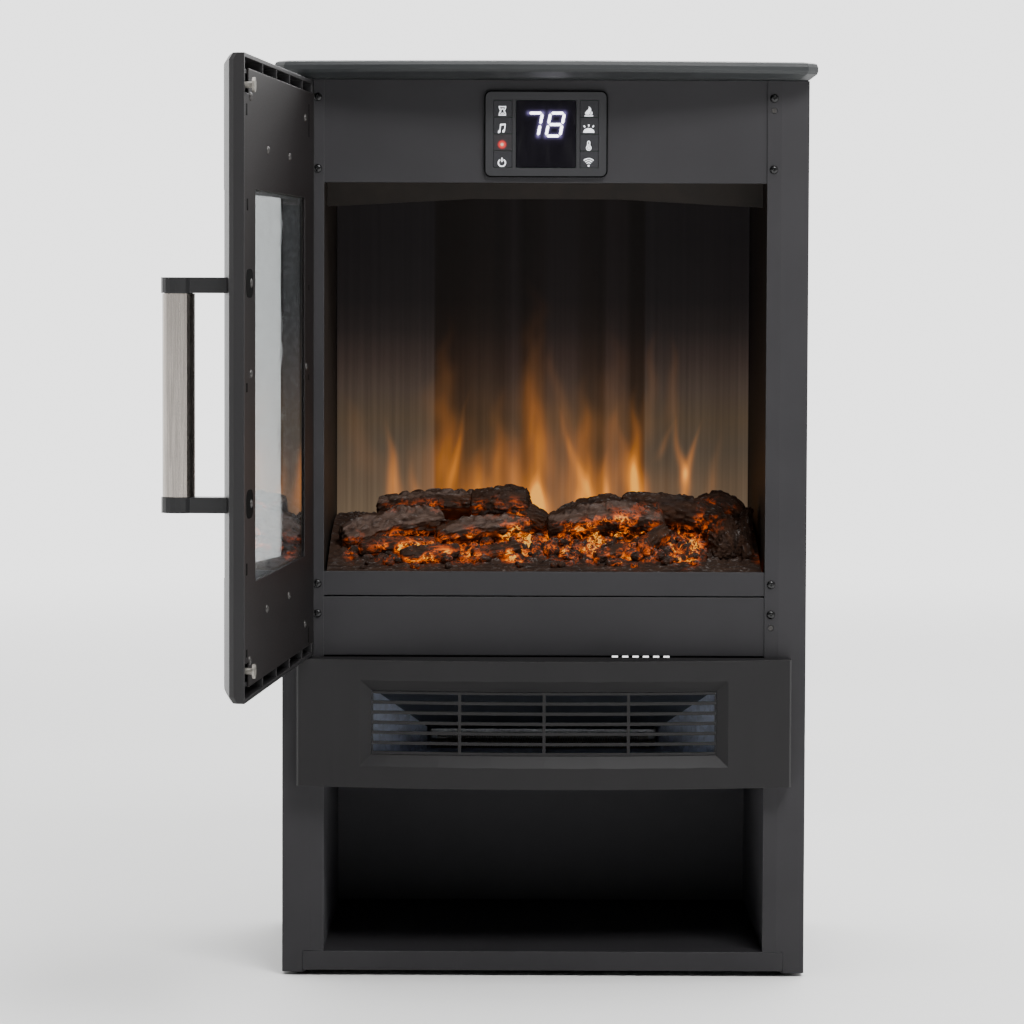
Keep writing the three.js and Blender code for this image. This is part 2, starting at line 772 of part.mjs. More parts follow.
/** The heating element: two toothed wire rows on a mica frame, across the blower's slot. */
function heatingElement() {
  const half = slotWidth / 2 - seat;
  const [low, high] = slotSpan;
  const near = blowerFrontY + 2;
  const rows = [low + 0.3 * slotHeight, low + 0.7 * slotHeight].map((z) => {
    const pitch = (2 * half - 30) / coilTeeth;
    const points = [];
    for (let i = 0; i < coilTeeth; i++) {
      const x = -half + 15 + i * pitch;
      points.push([x, z - 2], [x + pitch / 2, z - 2], [x + pitch / 2, z + 1.5], [x + pitch, z + 1.5]);
    }
    points.push([half - 15, z - 3], [-half + 15, z - 3]);
    const shape = new THREE.Shape(points.map(([x, y]) => new THREE.Vector2(x, y)));
    return extrudeBack(shape, near, near + 3);
  });
  const ends = [-1, 1].map((side) =>
    block([side * (half - 18), side * half], [near + 1, near + 2], [low + seat, high - seat]),
  );
  const spine = block([-half, half], [near + 1, near + 2], [low + seat, low + 5]);
  const upper = block([-half + 1, half - 1], [near + 1, near + 2], [low + 0.5 * slotHeight, low + 0.62 * slotHeight]);
  return join(...rows, ...ends, spine, upper);
}
place("heating_element", heatingElement(), finishes.bareSteel);

// ---------- Panels around the firebox ----------

/** The hole that a magnet looks out through, at a height. */
function magnetHole(z) {
  return bar("y", magnetRadius + seat, [frontY - 1, linerY], [screwX, z]);
}

/** A folded front panel: a face behind the pilasters with returns at its lower and upper edges. */
function frontPanel(low, high, lowerReturn, upperReturn) {
  const path = [
    [panelY + upperReturn, high],
    [panelY, high],
    [panelY, low],
    [panelY + lowerReturn, low],
  ];
  const channel = extrudeAcross(foldedSheet(path, gauge), -halfOpening + seat, halfOpening - seat);
  const tabs = block([-tabHalf, tabHalf], [panelY, panelY + gauge], [low, high]);
  return join(channel, tabs);
}

/** The lower panel, with a row of vent slots in its lower return. */
function lowerPanel() {
  const slots = [];
  const [slotLength, slotPitch, slotStart] = [5.2, 8, 59];
  for (let i = 0; i < 6; i++) {
    const left = slotStart + i * slotPitch;
    const y = [panelY + 2.5, panelY + panelReturn - 3];
    slots.push(block([left, left + slotLength], y, [lowerPanelZ - 1, lowerPanelZ + gauge + 1]));
  }
  const panel = frontPanel(lowerPanelZ, lowerPanelZ + lowerPanelHeight, panelReturn, panelReturn);
  return cut(panel, ...slots, magnetHole(strikeHeights[0]));
}
place("lower_front_panel", lowerPanel(), finishes.coatedSteel);
place("lower_rail", frontPanel(railZ, railTopZ, panelReturn / 2, panelReturn / 2), finishes.coatedSteel);

const podZ = controlZ + podCentre;
const podHoleGap = podSkirt + seat;
const controlSheet = cut(
  frontPanel(controlZ, panelTopZ, panelReturn, panelReturn),
  block(
    [-podWidth / 2 + podHoleGap - seat, podWidth / 2 - podHoleGap + seat],
    [panelY - 1, panelY + gauge + 1],
    [podZ - podHeight / 2 + podHoleGap - seat, podZ + podHeight / 2 - podHoleGap + seat],
  ),
  magnetHole(strikeHeights[1]),
);
place("control_fascia", controlSheet, finishes.coatedSteel);

// ---------- Control pod ----------

const podFrontY = panelY - podProud - gauge;
const faceBackY = podFrontY + podFace;
const cellGap = 0.3;
const columnHeight = 4 * keyCell;

/** The pod: a face with a window for the display and a slot for each column of keys, and a skirt behind. */
function displayPod() {
  const face = roundedRectangle(podWidth, podHeight, podCorner, 0, podZ);
  const window = roundedRectangle(displayWidth + 2 * seat, displayHeight + 2 * seat, 1.5, 0, podZ);
  face.holes.push(window);
  for (const x of [-keyOffset, keyOffset]) {
    const width = keyWidth + 2 * cellGap;
    face.holes.push(roundedRectangle(width, columnHeight + cellGap, 0.8, x, podZ));
  }
  const skirtWidth = podWidth - 2 * podHoleGap;
  const skirtHeight = podHeight - 2 * podHoleGap;
  const skirt = rectangle(
    [-skirtWidth / 2, skirtWidth / 2],
    [podZ - skirtHeight / 2, podZ + skirtHeight / 2],
  );
  skirt.holes.push(
    rectangle(
      [-skirtWidth / 2 + podSkirt, skirtWidth / 2 - podSkirt],
      [podZ - skirtHeight / 2 + podSkirt, podZ + skirtHeight / 2 - podSkirt],
    ),
  );
  const depth = [faceBackY - 0.1, podFrontY + podDepth];
  return join(extrudeBack(face, podFrontY, faceBackY), extrudeBack(skirt, ...depth));
}
place("display_pod", displayPod(), finishes.glossPlastic);

const lensShape = roundedRectangle(displayWidth, displayHeight, 1.2, 0, podZ);
place("display_lens", extrudeBack(lensShape, podFrontY + 0.4, faceBackY), finishes.glossPlastic);

const boardBackY = podFrontY + podDepth;
const boardHalfWidth = podWidth / 2 - podHoleGap - podSkirt - seat;
const boardHalfHeight = podHeight / 2 - podHoleGap - podSkirt - seat;
const boardFrontY = boardBackY - boardThickness;
const board = block(
  [-boardHalfWidth, boardHalfWidth],
  [boardFrontY, boardBackY],
  [podZ - boardHalfHeight, podZ + boardHalfHeight],
);
const displayModule = block(
  [-displayWidth / 2 + 3, displayWidth / 2 - 3],
  [faceBackY + seat, boardFrontY + 0.1],
  [podZ - displayHeight / 2 + 3, podZ + displayHeight / 2 - 3],
);
place("control_board", join(board, displayModule), finishes.circuit);

/** A key: a cap in the pod's slot, a rim behind the face and a stem that reaches the board's switch. */
function controlKey(x, z, reach) {
  const half = (keyCell - keyGap) / 2;
  const cap = roundedRectangle(keyWidth, 2 * half, 0.8, x, z);
  const rimBack = faceBackY + seat + 1;
  const rim = block([x - keyWidth / 2 - keyLip, x + keyWidth / 2 + keyLip], [faceBackY + seat, rimBack], [z - half, z + half]);
  const stem = bar("y", 1.5, [rimBack - 0.2, boardFrontY - reach], [x, z], 8);
  return join(extrudeBack(cap, podFrontY - 0.3, rimBack - 0.2, 2), rim, stem);
}

const keyRows = [1.5, 0.5, -0.5, -1.5].map((row) => podZ + row * keyCell);
const keyNames = {
  left: ["key_timer", "key_sound", "indicator_lens", "key_power"],
  right: ["key_flame", "key_light", "key_temperature", "key_remote"],
};
for (const [side, x] of [["left", -keyOffset], ["right", keyOffset]]) {
  keyNames[side].forEach((name, row) => {
    const fixed = name === "indicator_lens";
    const piece = controlKey(x, keyRows[row], fixed ? seat : keyTravel + seat);
    place(name, piece, fixed ? finishes.redLens : finishes.glossPlastic);
  });
}

// ---------- Firebox ----------

const screenY = frontY + screenDepth;
const hoodY = frontY + hoodDepth;
const rotorY = (screenY + screenThickness + deckBackY) / 2;
const rotorZ = fireDeckZ + rotorHeight;
const bushRadius = 6;

place("fire_deck", deck(fireDeckZ - gauge), finishes.innerSteel);

/** The firebox liner: two walls and a ceiling, with the rotor's bearings let into the walls. */
function fireboxLiner() {
  const low = fireDeckZ + seat;
  const path = [
    [linerHalf, low],
    [linerHalf, ceilingZ],
    [-linerHalf, ceilingZ],
    [-linerHalf, low],
  ];
  const tunnel = extrudeBack(foldedSheet(path, -gauge), hoodY - gauge, deckBackY);
  const cheeks = [-1, 1].map((side) =>
    block([side * linerHalf, side * (linerHalf + gauge)], [linerY, hoodY], [low, controlZ - seat]),
  );
  const bearings = bar("x", bushRadius + seat, [-halfWidth, halfWidth], [rotorY, rotorZ]);
  return cut(join(tunnel, ...cheeks), bearings);
}
place("firebox_liner", fireboxLiner(), finishes.innerSteel);

/** The hood under the control panel, a sheet whose hanging edge is arched. */
function fireHood() {
  const half = linerHalf - seat;
  const shelfLow = controlZ + gauge + seat;
  const apron = new THREE.Shape();
  const hoodTop = ceilingZ - seat;
  apron.moveTo(half, hoodTop);
  apron.lineTo(-half, hoodTop);
  apron.lineTo(-half, controlZ - hoodDropEnds);
  apron.quadraticCurveTo(0, controlZ - 2 * hoodDropMiddle + hoodDropEnds, half, controlZ - hoodDropEnds);
  const shelf = block([-half, half], [linerY, hoodY], [shelfLow, shelfLow + gauge]);
  return join(extrudeBack(apron, hoodY - gauge, hoodY), shelf);
}
place("fire_hood", fireHood(), finishes.innerSteel);

const screenHalf = linerHalf - seat;
const screenSpan = [fireDeckZ + seat, ceilingZ - seat];
const screenPlate = block([-screenHalf, screenHalf], [screenY, screenY + screenThickness], screenSpan);
place("flame_screen", screenPlate, finishes.screen);

// ---------- Ember bed and logs ----------

const bedHalf = halfOpening - 2;
const bedFrontY = panelY + panelReturn / 2 + gauge;
const bedBackY = screenY - 2;

/** The height of the ember bed: a mound with lumps of coal, low along the front. */
function emberHeight(x, y) {
  const back = (y - bedFrontY) / (bedBackY - bedFrontY);
  const mound = emberMound * Math.sin(Math.min(back * 1.25, 1) * 0.5 * Math.PI);
  const hollow = emberHollow * Math.cos((x / bedHalf) * 0.5 * Math.PI);
  const [u, v] = [x / coalPitch, y / coalPitch];
  const lumps = Math.sin(u + 1.3 * Math.sin(0.53 * v)) * Math.sin(1.125 * v + 1.7 * Math.sin(0.43 * u));
  const coals = 0.5 * Math.sin(1.73 * u + 1.27 * v) * Math.cos(1.53 * v - 0.69 * u);
  return railTopZ + mound - hollow * back + coalHeight * (lumps + coals) * Math.min(1, 0.3 + 2 * back);
}

/** A sheet over a grid, between an upper and a lower height at each place. */
function moundedSheet(upper, lower, columns, rows) {
  const points = [];
  for (const height of [upper, lower]) {
    for (let row = 0; row <= rows; row++) {
      for (let column = 0; column <= columns; column++) {
        const x = bedHalf * ((2 * column) / columns - 1);
        const y = bedFrontY + ((bedBackY - bedFrontY) * row) / rows;
        points.push(new THREE.Vector3(x, y, height(x, y)));
      }
    }
  }
  const at = (layer, row, column) => (layer * (rows + 1) + row) * (columns + 1) + column;
  const index = [];
  const quad = (a, b, c, d) => index.push(a, b, c, a, c, d);
  for (let row = 0; row < rows; row++) {
    for (let column = 0; column < columns; column++) {
      quad(at(0, row, column), at(0, row, column + 1), at(0, row + 1, column + 1), at(0, row + 1, column));
      quad(at(1, row, column), at(1, row + 1, column), at(1, row + 1, column + 1), at(1, row, column + 1));
    }
    quad(at(0, row, 0), at(0, row + 1, 0), at(1, row + 1, 0), at(1, row, 0));
    quad(at(0, row, columns), at(1, row, columns), at(1, row + 1, columns), at(0, row + 1, columns));
  }
  for (let column = 0; column < columns; column++) {
    quad(at(0, 0, column), at(1, 0, column), at(1, 0, column + 1), at(0, 0, column + 1));
    quad(at(0, rows, column), at(0, rows, column + 1), at(1, rows, column + 1), at(1, rows, column));
  }
  const geometry = new THREE.BufferGeometry().setFromPoints(points);
  geometry.setIndex(index);
  return geometry;
}

const [bedColumns, bedRows] = [20, 8];
const bedSkin = moundedSheet(emberHeight, (x, y) => emberHeight(x, y) - emberWall, bedColumns, bedRows);
const skirtTop = railTopZ - emberWall / 2;
const bedSkirt = cut(
  block([-bedHalf, bedHalf], [bedFrontY, bedBackY], [fireDeckZ + seat, skirtTop]),
  block(
    [-bedHalf + emberWall, bedHalf - emberWall],
    [bedFrontY + emberWall, bedBackY - emberWall],
    [fireDeckZ, railTopZ],
  ),
);
const bedRim = cut(
  moundedSheet(emberHeight, () => skirtTop - 1, bedColumns, bedRows),
  block(
    [-bedHalf + emberWall, bedHalf - emberWall],
    [bedFrontY + emberWall, bedBackY - emberWall],
    [fireDeckZ, cabinetHeight],
  ),
);
place("ember_bed", join(bedSkirt, bedRim, bedSkin), finishes.ember);

/** A place over the bed, from its shares of the bed's half width, of its depth and of the mound's rise. */
function overBed([across, back, rise]) {
  const y = bedFrontY + (bedBackY - bedFrontY) * back;
  return new THREE.Vector3(bedHalf * across, y, railTopZ + emberMound * rise);
}

/** A split log along a bent axis, its round uneven and its ends sawn; it may be drawn grown all round. */
function splitLog({ from, to, girth, arch, phase }, grow = 0) {
  const [start, end] = [overBed(from), overBed(to)];
  const [radius, lift] = [logRadius * girth, logRadius * arch];
  const forward = end.clone().sub(start).normalize();
  const across = axisZ.clone().cross(forward).normalize();
  const upward = forward.clone().cross(across);
  const [steps, sides] = [7, 9];
  const rings = [];
  for (let step = 0; step <= steps; step++) {
    const along = step / steps;
    const middle = start.clone().lerp(end, along);
    middle.addScaledVector(axisZ, lift * Math.sin(Math.PI * along));
    middle.addScaledVector(across, 0.5 * lift * Math.sin(2 * Math.PI * along + phase));
    middle.addScaledVector(forward, grow * (2 * along - 1));
    const ring = [];
    for (let side = 0; side < sides; side++) {
      const angle = (2 * Math.PI * side) / sides;
      const knots = 0.13 * Math.sin(3 * angle + phase + 2 * along) + 0.09 * Math.sin(5 * angle - 7 * along + phase);
      const taper = 1 - 0.22 * Math.abs(2 * along - 1) ** 3;
      const reach = radius * taper * (1 + knots) + grow;
      const point = middle.clone().addScaledVector(across, reach * Math.cos(angle));
      ring.push(point.addScaledVector(upward, reach * Math.sin(angle)));
    }
    rings.push(ring);
  }
  return loft(rings);
}

const logs = [
  { name: "log_left_rear", from: [-0.777, 0.54, 1.216], to: [-0.011, 0.482, 1.324], girth: 1, arch: 0.19, phase: 0.4 },
  { name: "log_right_rear", from: [0.032, 0.474, 0.946], to: [0.883, 0.597, 1.216], girth: 1.06, arch: 0.56, phase: 2.1 },
  { name: "log_left_front", from: [-0.947, 0.277, 0.568], to: [-0.447, 0.392, 1], girth: 1, arch: 0.19, phase: 3.3 },
  { name: "log_right_front", from: [0.777, 0.564, 1.27], to: [0.936, 0.194, 0.459], girth: 0.94, arch: 0.25, phase: 1.2 },
  { name: "log_centre", from: [-0.372, 0.162, 0.351], to: [0.128, 0.342, 0.838], girth: 0.75, arch: 0.25, phase: 4.8 },
];
const aboveBed = moundedSheet((x, y) => emberHeight(x, y) + seat, () => fireDeckZ, bedColumns, bedRows);
logs.forEach((log, i) => {
  const earlier = logs.slice(0, i).map((other) => splitLog(other, seat));
  place(log.name, cut(splitLog(log), aboveBed, ...earlier), finishes.bark);
});

// ---------- Flame and ember lighting ----------

/** The strip of lamps under the bed, which lights the embers and the flame rotor. */
function lampStrip() {
  const [half, width, lampCount] = [150, 12, 8];
  const low = fireDeckZ + seat;
  const middleY = (bedFrontY + bedBackY) / 2;
  const strip = block([-half, half], [middleY - width / 2, middleY + width / 2], [low, low + boardThickness]);
  const lamps = [];
  for (let i = 0; i < lampCount; i++) {
    const x = half * ((2 * i + 1) / lampCount - 1);
    const z = [low + boardThickness - 0.2, low + boardThickness + 1.4];
    lamps.push(block([x - 2.5, x + 2.5], [middleY - 2.5, middleY + 2.5], z));
  }
  return join(strip, ...lamps);
}
place("lamp_strip", lampStrip(), finishes.circuit);

/** The flame rotor: a shaft with bright vanes fanned round it. */
function flameRotor() {
  const span = 2 * (linerHalf - 16);
  const pitch = span / rotorVanes;
  const vanes = [];
  for (let i = 0; i < rotorVanes; i++) {
    const x = -span / 2 + pitch * (i + 0.5);
    const vane = block([x - 0.36 * pitch, x + 0.36 * pitch], [-rotorRadius, rotorRadius], [-0.4, 0.4]);
    vanes.push(vane.rotateX((i * Math.PI * 2) / rotorVanes));
  }
  const shaft = bar("x", rotorShaftRadius, [-linerHalf - gauge - 2, linerHalf + gauge + 6], [0, 0]);
  return join(shaft, ...vanes).translate(0, rotorY, rotorZ);
}
place("flame_rotor", flameRotor(), finishes.brushedSteel);

/** A flanged bush in the left wall. */
function rotorBush() {
  const bush = turned([
    [rotorShaftRadius + seat, -3],
    [bushRadius + 3, -3],
    [bushRadius + 3, 0],
    [bushRadius, 0],
    [bushRadius, gauge + seat],
    [rotorShaftRadius + seat, gauge + seat],
    [rotorShaftRadius + seat, -3],
  ], 12);
  return bush.rotateY(Math.PI / 2).translate(-linerHalf - gauge - seat, rotorY, rotorZ);
}
place("rotor_bush", rotorBush(), finishes.blackPlastic);

/** The rotor's small geared motor outside the right wall. */
function rotorMotor() {
  const start = linerHalf + gauge + seat;
  const length = 0.5 * (halfWidth - gauge - start);
  const earReach = rotorMotorRadius + 7;
  const can = bar("x", rotorMotorRadius, [start, start + length], [rotorY, rotorZ]);
  const ears = block([start, start + gauge], [rotorY - earReach, rotorY + earReach], [rotorZ - 5, rotorZ + 5]);
  const bore = bar("x", rotorShaftRadius + seat, [start - 1, start + length / 2], [rotorY, rotorZ]);
  return cut(join(can, ears), bore);
}
place("rotor_motor", rotorMotor(), finishes.bareSteel);

// ---------- Rear cover and cord inlet ----------

const inletX = -halfWidth + 60;
const inletZ = bayFloorZ + 40;

/** The rear cover with the heater's air slots and the hole for the cord inlet. */
function rearCover() {
  const half = deckHalf;
  const cover = block([-half, half], [backY - gauge, backY], [baseClearance, panelTopZ]);
  const through = [backY - gauge - 1, backY + 1];
  const slots = [];
  for (let row = 0; row < ventRows; row++) {
    const z = bayFloorZ + ventLift + row * ventPitch;
    for (let column = 0; column < ventColumns; column++) {
      const x = (column - (ventColumns - 1) / 2) * (ventLength + ventPitch);
      const across = [x - ventLength / 2, x + ventLength / 2];
      slots.push(block(across, through, [z - ventHeight / 2, z + ventHeight / 2]));
    }
  }
  const motorVentZ = bayFloorZ + motorVentLift;
  for (let i = 0; i < motorVents; i++) {
    const x = motorVentX + i * motorVentPitch;
    slots.push(block([x - motorVentWidth / 2, x + motorVentWidth / 2], through, [motorVentZ - motorVentHeight / 2, motorVentZ + motorVentHeight / 2]));
  }
  const hole = bar("y", inletRadius - 2 + seat, through, [inletX, inletZ]);
  return cut(cover, ...slots, hole);
}
place("rear_cover", rearCover(), finishes.coatedSteel);

/** The bushing that the cord goes in by. */
function cordInlet() {
  const neck = inletRadius - 2;
  const bushing = turned([
    [inletBore, -6],
    [neck, -6],
    [neck, seat],
    [inletRadius, seat],
    [inletRadius, seat + 1.5],
    [inletRadius - 1, seat + 2.5],
    [inletBore, seat + 2.5],
    [inletBore, -6],
  ], 12);
  return bushing.rotateX(-Math.PI / 2).translate(inletX, backY, inletZ);
}
place("cord_inlet", cordInlet(), finishes.blackPlastic);

// ---------- Hinges and magnets ----------

/** A hinge: a leg behind the pilaster, a tab out through it, and the door's pin. */
function hingeBracket({ low, toward }) {
  const tab = extrudeUp(hingeTabPlan(0), low, low + hingeTab);
  const face = toward > 0 ? low + hingeTab : low;
  const legSpan = [pivotX - hingeEar, pivotX + hingeEar];
  const leg = block(legSpan, [linerY, linerY + hingeTab], [face - toward * hingeTab, face + toward * 24]);
  const pinTip = face + toward * (hingeClearance + pinLength);
  const pinEnds = [face - 0.2 * toward, pinTip].sort((a, b) => a - b);
  return join(tab, leg, bar("z", pinRadius, pinEnds, [pivotX, pivotY]));
}
place("hinge_bracket_lower", hingeBracket(hingeTabs[0]), finishes.coatedSteel);
place("hinge_bracket_upper", hingeBracket(hingeTabs[1]), finishes.coatedSteel);

strikeHeights.forEach((z, i) => {
  const magnet = bar("y", magnetRadius, [frontY - magnetProud, frontY + magnetDepth], [screwX, z]);
  const collar = bar("y", magnetRadius + 2, [linerY, frontY + magnetDepth], [screwX, z]);
  place(["magnet_lower", "magnet_upper"][i], join(magnet, collar), finishes.bareSteel);
});

// ---------- Door ----------

const plateSpan = [doorLowZ + plateMargin, doorHighZ - plateMargin];
const plateHalf = doorHalf - plasticWall - seat;
const windowMiddleZ = doorMiddleZ - windowDrop;
const windowSpan = [windowMiddleZ - windowHeight / 2, windowMiddleZ + windowHeight / 2];
const plateFrontY = doorBackY - plateGauge;
const glassBackY = plateFrontY - seat;
const glassFrontY = glassBackY - glassThickness;
const widened = ([low, high], by) => [low - by, high + by];
const windowReach = (by) => [-windowWidth / 2 - by, windowWidth / 2 + by];

/** The outside of the door: a bowed slab with a bevel round its front. */
function doorOutside() {
  const levels = [
    [doorLowZ, doorBevelDepth],
    [doorLowZ + doorBevelHeight, 0],
    [doorHighZ - doorBevelHeight, 0],
    [doorHighZ, doorBevelDepth],
  ];
  const rings = levels.map(([z, back]) =>
    bowedPlan(doorHalf, doorBackY, bowEndY + back, bow, doorBevelDepth).map(
      (point) => new THREE.Vector3(point.x, point.y, z),
    ),
  );
  return loft(rings);
}

/** The moulded door: a bowed shell, open at the back, with pockets, bosses and a frame round the window. */
function doorShell() {
  const outside = doorOutside();
  const hollow = bowedPlan(doorHalf - plasticWall, doorBackY + 1, bowEndY + plasticWall, bow, doorBevelDepth);
  const inside = extrudeUp(new THREE.Shape(hollow), doorLowZ + plasticWall, doorHighZ - plasticWall);
  const deep = [bowEndY - bow, doorBackY];
  const across = [-doorHalf + 1, doorHalf - 1];
  const stiffeners = [];
  for (const [edge, rail] of [[doorLowZ, plateSpan[0]], [doorHighZ, plateSpan[1]]]) {
    const inward = Math.sign(rail - edge);
    stiffeners.push(block(across, deep, [rail + inward, rail + inward * (1 + plasticWall)]));
    for (let i = 0; i < ribCount; i++) {
      const x = -doorHalf + ribStart + i * ribPitch;
      stiffeners.push(block([x, x + ribWall], deep, [edge + inward, rail + 2 * inward]));
    }
    const bossEnd = edge + inward * (pinLength + 3);
    stiffeners.push(block([-doorHalf, pivotX + pivotInset], [pivotY - pivotInset, doorBackY], [edge, bossEnd]));
  }
  for (const z of strikeHeights) {
    stiffeners.push(bar("y", strikeRadius, [bowEndY - bow, doorBackY - postDepth / 2], [strikeX, z]));
  }
  const frame = block(windowReach(glassLap + plasticWall), [deep[0], glassBackY], widened(windowSpan, glassLap + plasticWall));
  const blank = cut(outside, inside);
  const ribbed = join(blank, ...stiffeners.map((piece) => common(piece, outside)), common(frame, outside));
  const plateBed = block(
    [-plateHalf - seat, plateHalf + seat],
    [glassBackY, doorBackY + 1],
    widened(plateSpan, seat),
  );
  const glassBed = block(
    windowReach(glassLap + seat),
    [glassFrontY - seat, doorBackY + 1],
    widened(windowSpan, glassLap + seat),
  );
  const window = block(windowReach(0), [bowEndY - 2 * bow, doorBackY + 1], windowSpan);
  const bore = bar("z", pinRadius + seat, [doorLowZ - 1, doorLowZ + pinLength + 1], [pivotX, pivotY]);
  const upperBore = bar("z", pinRadius + seat, [doorHighZ - pinLength - 1, doorHighZ + 1], [pivotX, pivotY]);
  const posts = strikeHeights.map((z) =>
    bar("y", postRadius + seat, [doorBackY - postDepth - seat, doorBackY], [strikeX, z]),
  );
  return cut(ribbed, plateBed, glassBed, window, bore, upperBore, ...posts);
}
hang("door_shell", doorShell(), finishes.blackPlastic);

/** The steel plate on the door's back, with the window and a notch round each strike. */
function doorPlate() {
  const [low, high] = plateSpan;
  const notchX = plateHalf - plateNotchWidth;
  const shape = new THREE.Shape(
    [
      [-plateHalf, low],
      [notchX, low],
      [notchX, low + plateNotchHeight],
      [plateHalf, low + plateNotchHeight],
      [plateHalf, high - plateNotchHeight],
      [notchX, high - plateNotchHeight],
      [notchX, high],
      [-plateHalf, high],
    ].map(([x, z]) => new THREE.Vector2(x, z)),
  );
  shape.holes.push(roundedRectangle(windowWidth, windowHeight, 2, 0, windowMiddleZ));
  return extrudeBack(shape, plateFrontY, doorBackY);
}
hang("door_back_plate", doorPlate(), finishes.coatedSteel);

const pane = block(windowReach(glassLap), [glassFrontY, glassBackY], widened(windowSpan, glassLap));
hang("door_glass", pane, finishes.glass);

/** A strike: a steel disc on a post in the shell's corner pocket, met by the cabinet's magnet. */
function strike(z) {
  const discBack = frontY - magnetProud - strikeGap;
  const disc = bar("y", strikeRadius, [discBack - strikeThickness, discBack], [strikeX, z]);
  const post = bar("y", postRadius, [doorBackY - postDepth, discBack - strikeThickness + 0.2], [strikeX, z], 12);
  return join(disc, post);
}
hang("strike_lower", strike(strikeHeights[0]), finishes.brushedSteel);
hang("strike_upper", strike(strikeHeights[1]), finishes.brushedSteel);

// ---------- Handle ----------

const handleX = doorHalf - handleInset;
const handleY = bowedFace(handleX) - handleReach;
const handleMiddleZ = doorMiddleZ - handleDrop;
const tubeSpan = [handleMiddleZ - handleLength / 2, handleMiddleZ + handleLength / 2];

const tube = turned([
  [handleRadius - handleWall, tubeSpan[0] + seat],
  [handleRadius, tubeSpan[0] + seat],
  [handleRadius, tubeSpan[1] - seat],
  [handleRadius - handleWall, tubeSpan[1] - seat],
  [handleRadius - handleWall, tubeSpan[0] + seat],
], 28).translate(handleX, handleY, 0);
hang("handle_tube", tube, finishes.brushedSteel);

/** A handle bracket: a cap over the tube's end, a spigot inside it and an arm to the door's face. */
function handleBracket(face, outward) {
  const radius = handleRadius + bracketRim;
  const plan = new THREE.Shape();
  const half = bracketArm / 2;
  const lean = Math.acos(half / radius);
  plan.moveTo(handleX + half, bowEndY);
  plan.lineTo(handleX + half, handleY + radius * Math.sin(lean));
  plan.absarc(handleX, handleY, radius, lean, Math.PI - lean, true);
  plan.lineTo(handleX - half, bowEndY);
  const ends = [face, face + outward * bracketThickness].sort((a, b) => a - b);
  const cap = cut(extrudeUp(plan, ...ends), doorOutside().translate(0, -seat, 0));
  const spigotEnds = [face - outward * spigotLength, face + outward].sort((a, b) => a - b);
  const spigot = bar("z", handleRadius - handleWall - seat, spigotEnds, [handleX, handleY]);
  return join(cap, spigot);
}
hang("handle_bracket_lower", handleBracket(tubeSpan[0], -1), finishes.blackPlastic);
hang("handle_bracket_upper", handleBracket(tubeSpan[1], 1), finishes.blackPlastic);

export default stove;
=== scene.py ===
"""Looks of a freestanding electric stove with an imitation log fire and an open glass door.

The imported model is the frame: its sheet-metal, moulded and turned parts keep their shapes and get
their finishes here. The pieces that are sculpted, wound, lit or printed (logs, embers, flames,
heating coils, digits, key symbols, screws) are modelled here and ride on the frame's bodies.
Lengths are written in millimetres and turned to metres by mm() or MM; +Z is up, -Y is the front.
"""

from __future__ import annotations

import logging
import math
import random
from dataclasses import dataclass, field
from enum import Enum
from typing import Callable, Iterable, Sequence

import bmesh
import bpy
from mathutils import Matrix, Vector, noise

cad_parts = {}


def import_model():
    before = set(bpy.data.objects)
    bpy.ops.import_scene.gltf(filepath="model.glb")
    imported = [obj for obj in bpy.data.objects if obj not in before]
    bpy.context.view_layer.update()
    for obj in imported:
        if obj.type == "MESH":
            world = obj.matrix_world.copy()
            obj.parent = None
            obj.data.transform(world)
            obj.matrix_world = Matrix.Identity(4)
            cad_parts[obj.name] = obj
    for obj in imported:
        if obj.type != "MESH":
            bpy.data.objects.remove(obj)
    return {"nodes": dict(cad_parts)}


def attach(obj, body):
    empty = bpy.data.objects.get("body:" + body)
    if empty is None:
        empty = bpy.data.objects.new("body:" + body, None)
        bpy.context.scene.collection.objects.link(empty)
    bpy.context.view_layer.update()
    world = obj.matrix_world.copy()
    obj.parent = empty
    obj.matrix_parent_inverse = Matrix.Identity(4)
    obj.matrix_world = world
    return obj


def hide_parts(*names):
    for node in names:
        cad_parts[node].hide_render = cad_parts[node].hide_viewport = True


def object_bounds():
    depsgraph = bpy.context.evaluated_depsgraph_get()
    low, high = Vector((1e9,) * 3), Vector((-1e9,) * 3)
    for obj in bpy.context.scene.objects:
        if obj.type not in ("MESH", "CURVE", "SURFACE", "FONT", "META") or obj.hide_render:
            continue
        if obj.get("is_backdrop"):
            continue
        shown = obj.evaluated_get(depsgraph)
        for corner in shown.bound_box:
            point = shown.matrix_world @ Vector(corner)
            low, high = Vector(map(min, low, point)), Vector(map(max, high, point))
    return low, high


LOG = logging.getLogger("stove")
MM = 0.001

Tree = bpy.types.NodeTree
Node = bpy.types.Node
Socket = bpy.types.NodeSocket
Shape = bmesh.types.BMesh
Piece = bpy.types.Object
Stops = tuple[tuple[float, str], ...]


# --------------------------------------------------------------------------- units and nodes


def mm(*values: float) -> Vector:
    """A place or a size in millimetres as a vector in metres.

    Args:
        *values: three numbers in millimetres.

    Returns:
        The vector in metres.
    """
    return Vector(values) * MM


def linear(hex_colour: str, alpha: float = 1.0) -> tuple[float, float, float, float]:
    """An sRGB hex colour as linear light.

    Args:
        hex_colour: six hex digits, with or without a leading #.
        alpha: opacity to carry along.

    Returns:
        Linear red, green, blue and the alpha.
    """
    digits = hex_colour.lstrip("#")
    channels = (int(digits[i : i + 2], 16) / 255 for i in (0, 2, 4))
    r, g, b = (c / 12.92 if c <= 0.04045 else ((c + 0.055) / 1.055) ** 2.4 for c in channels)
    return r, g, b, alpha


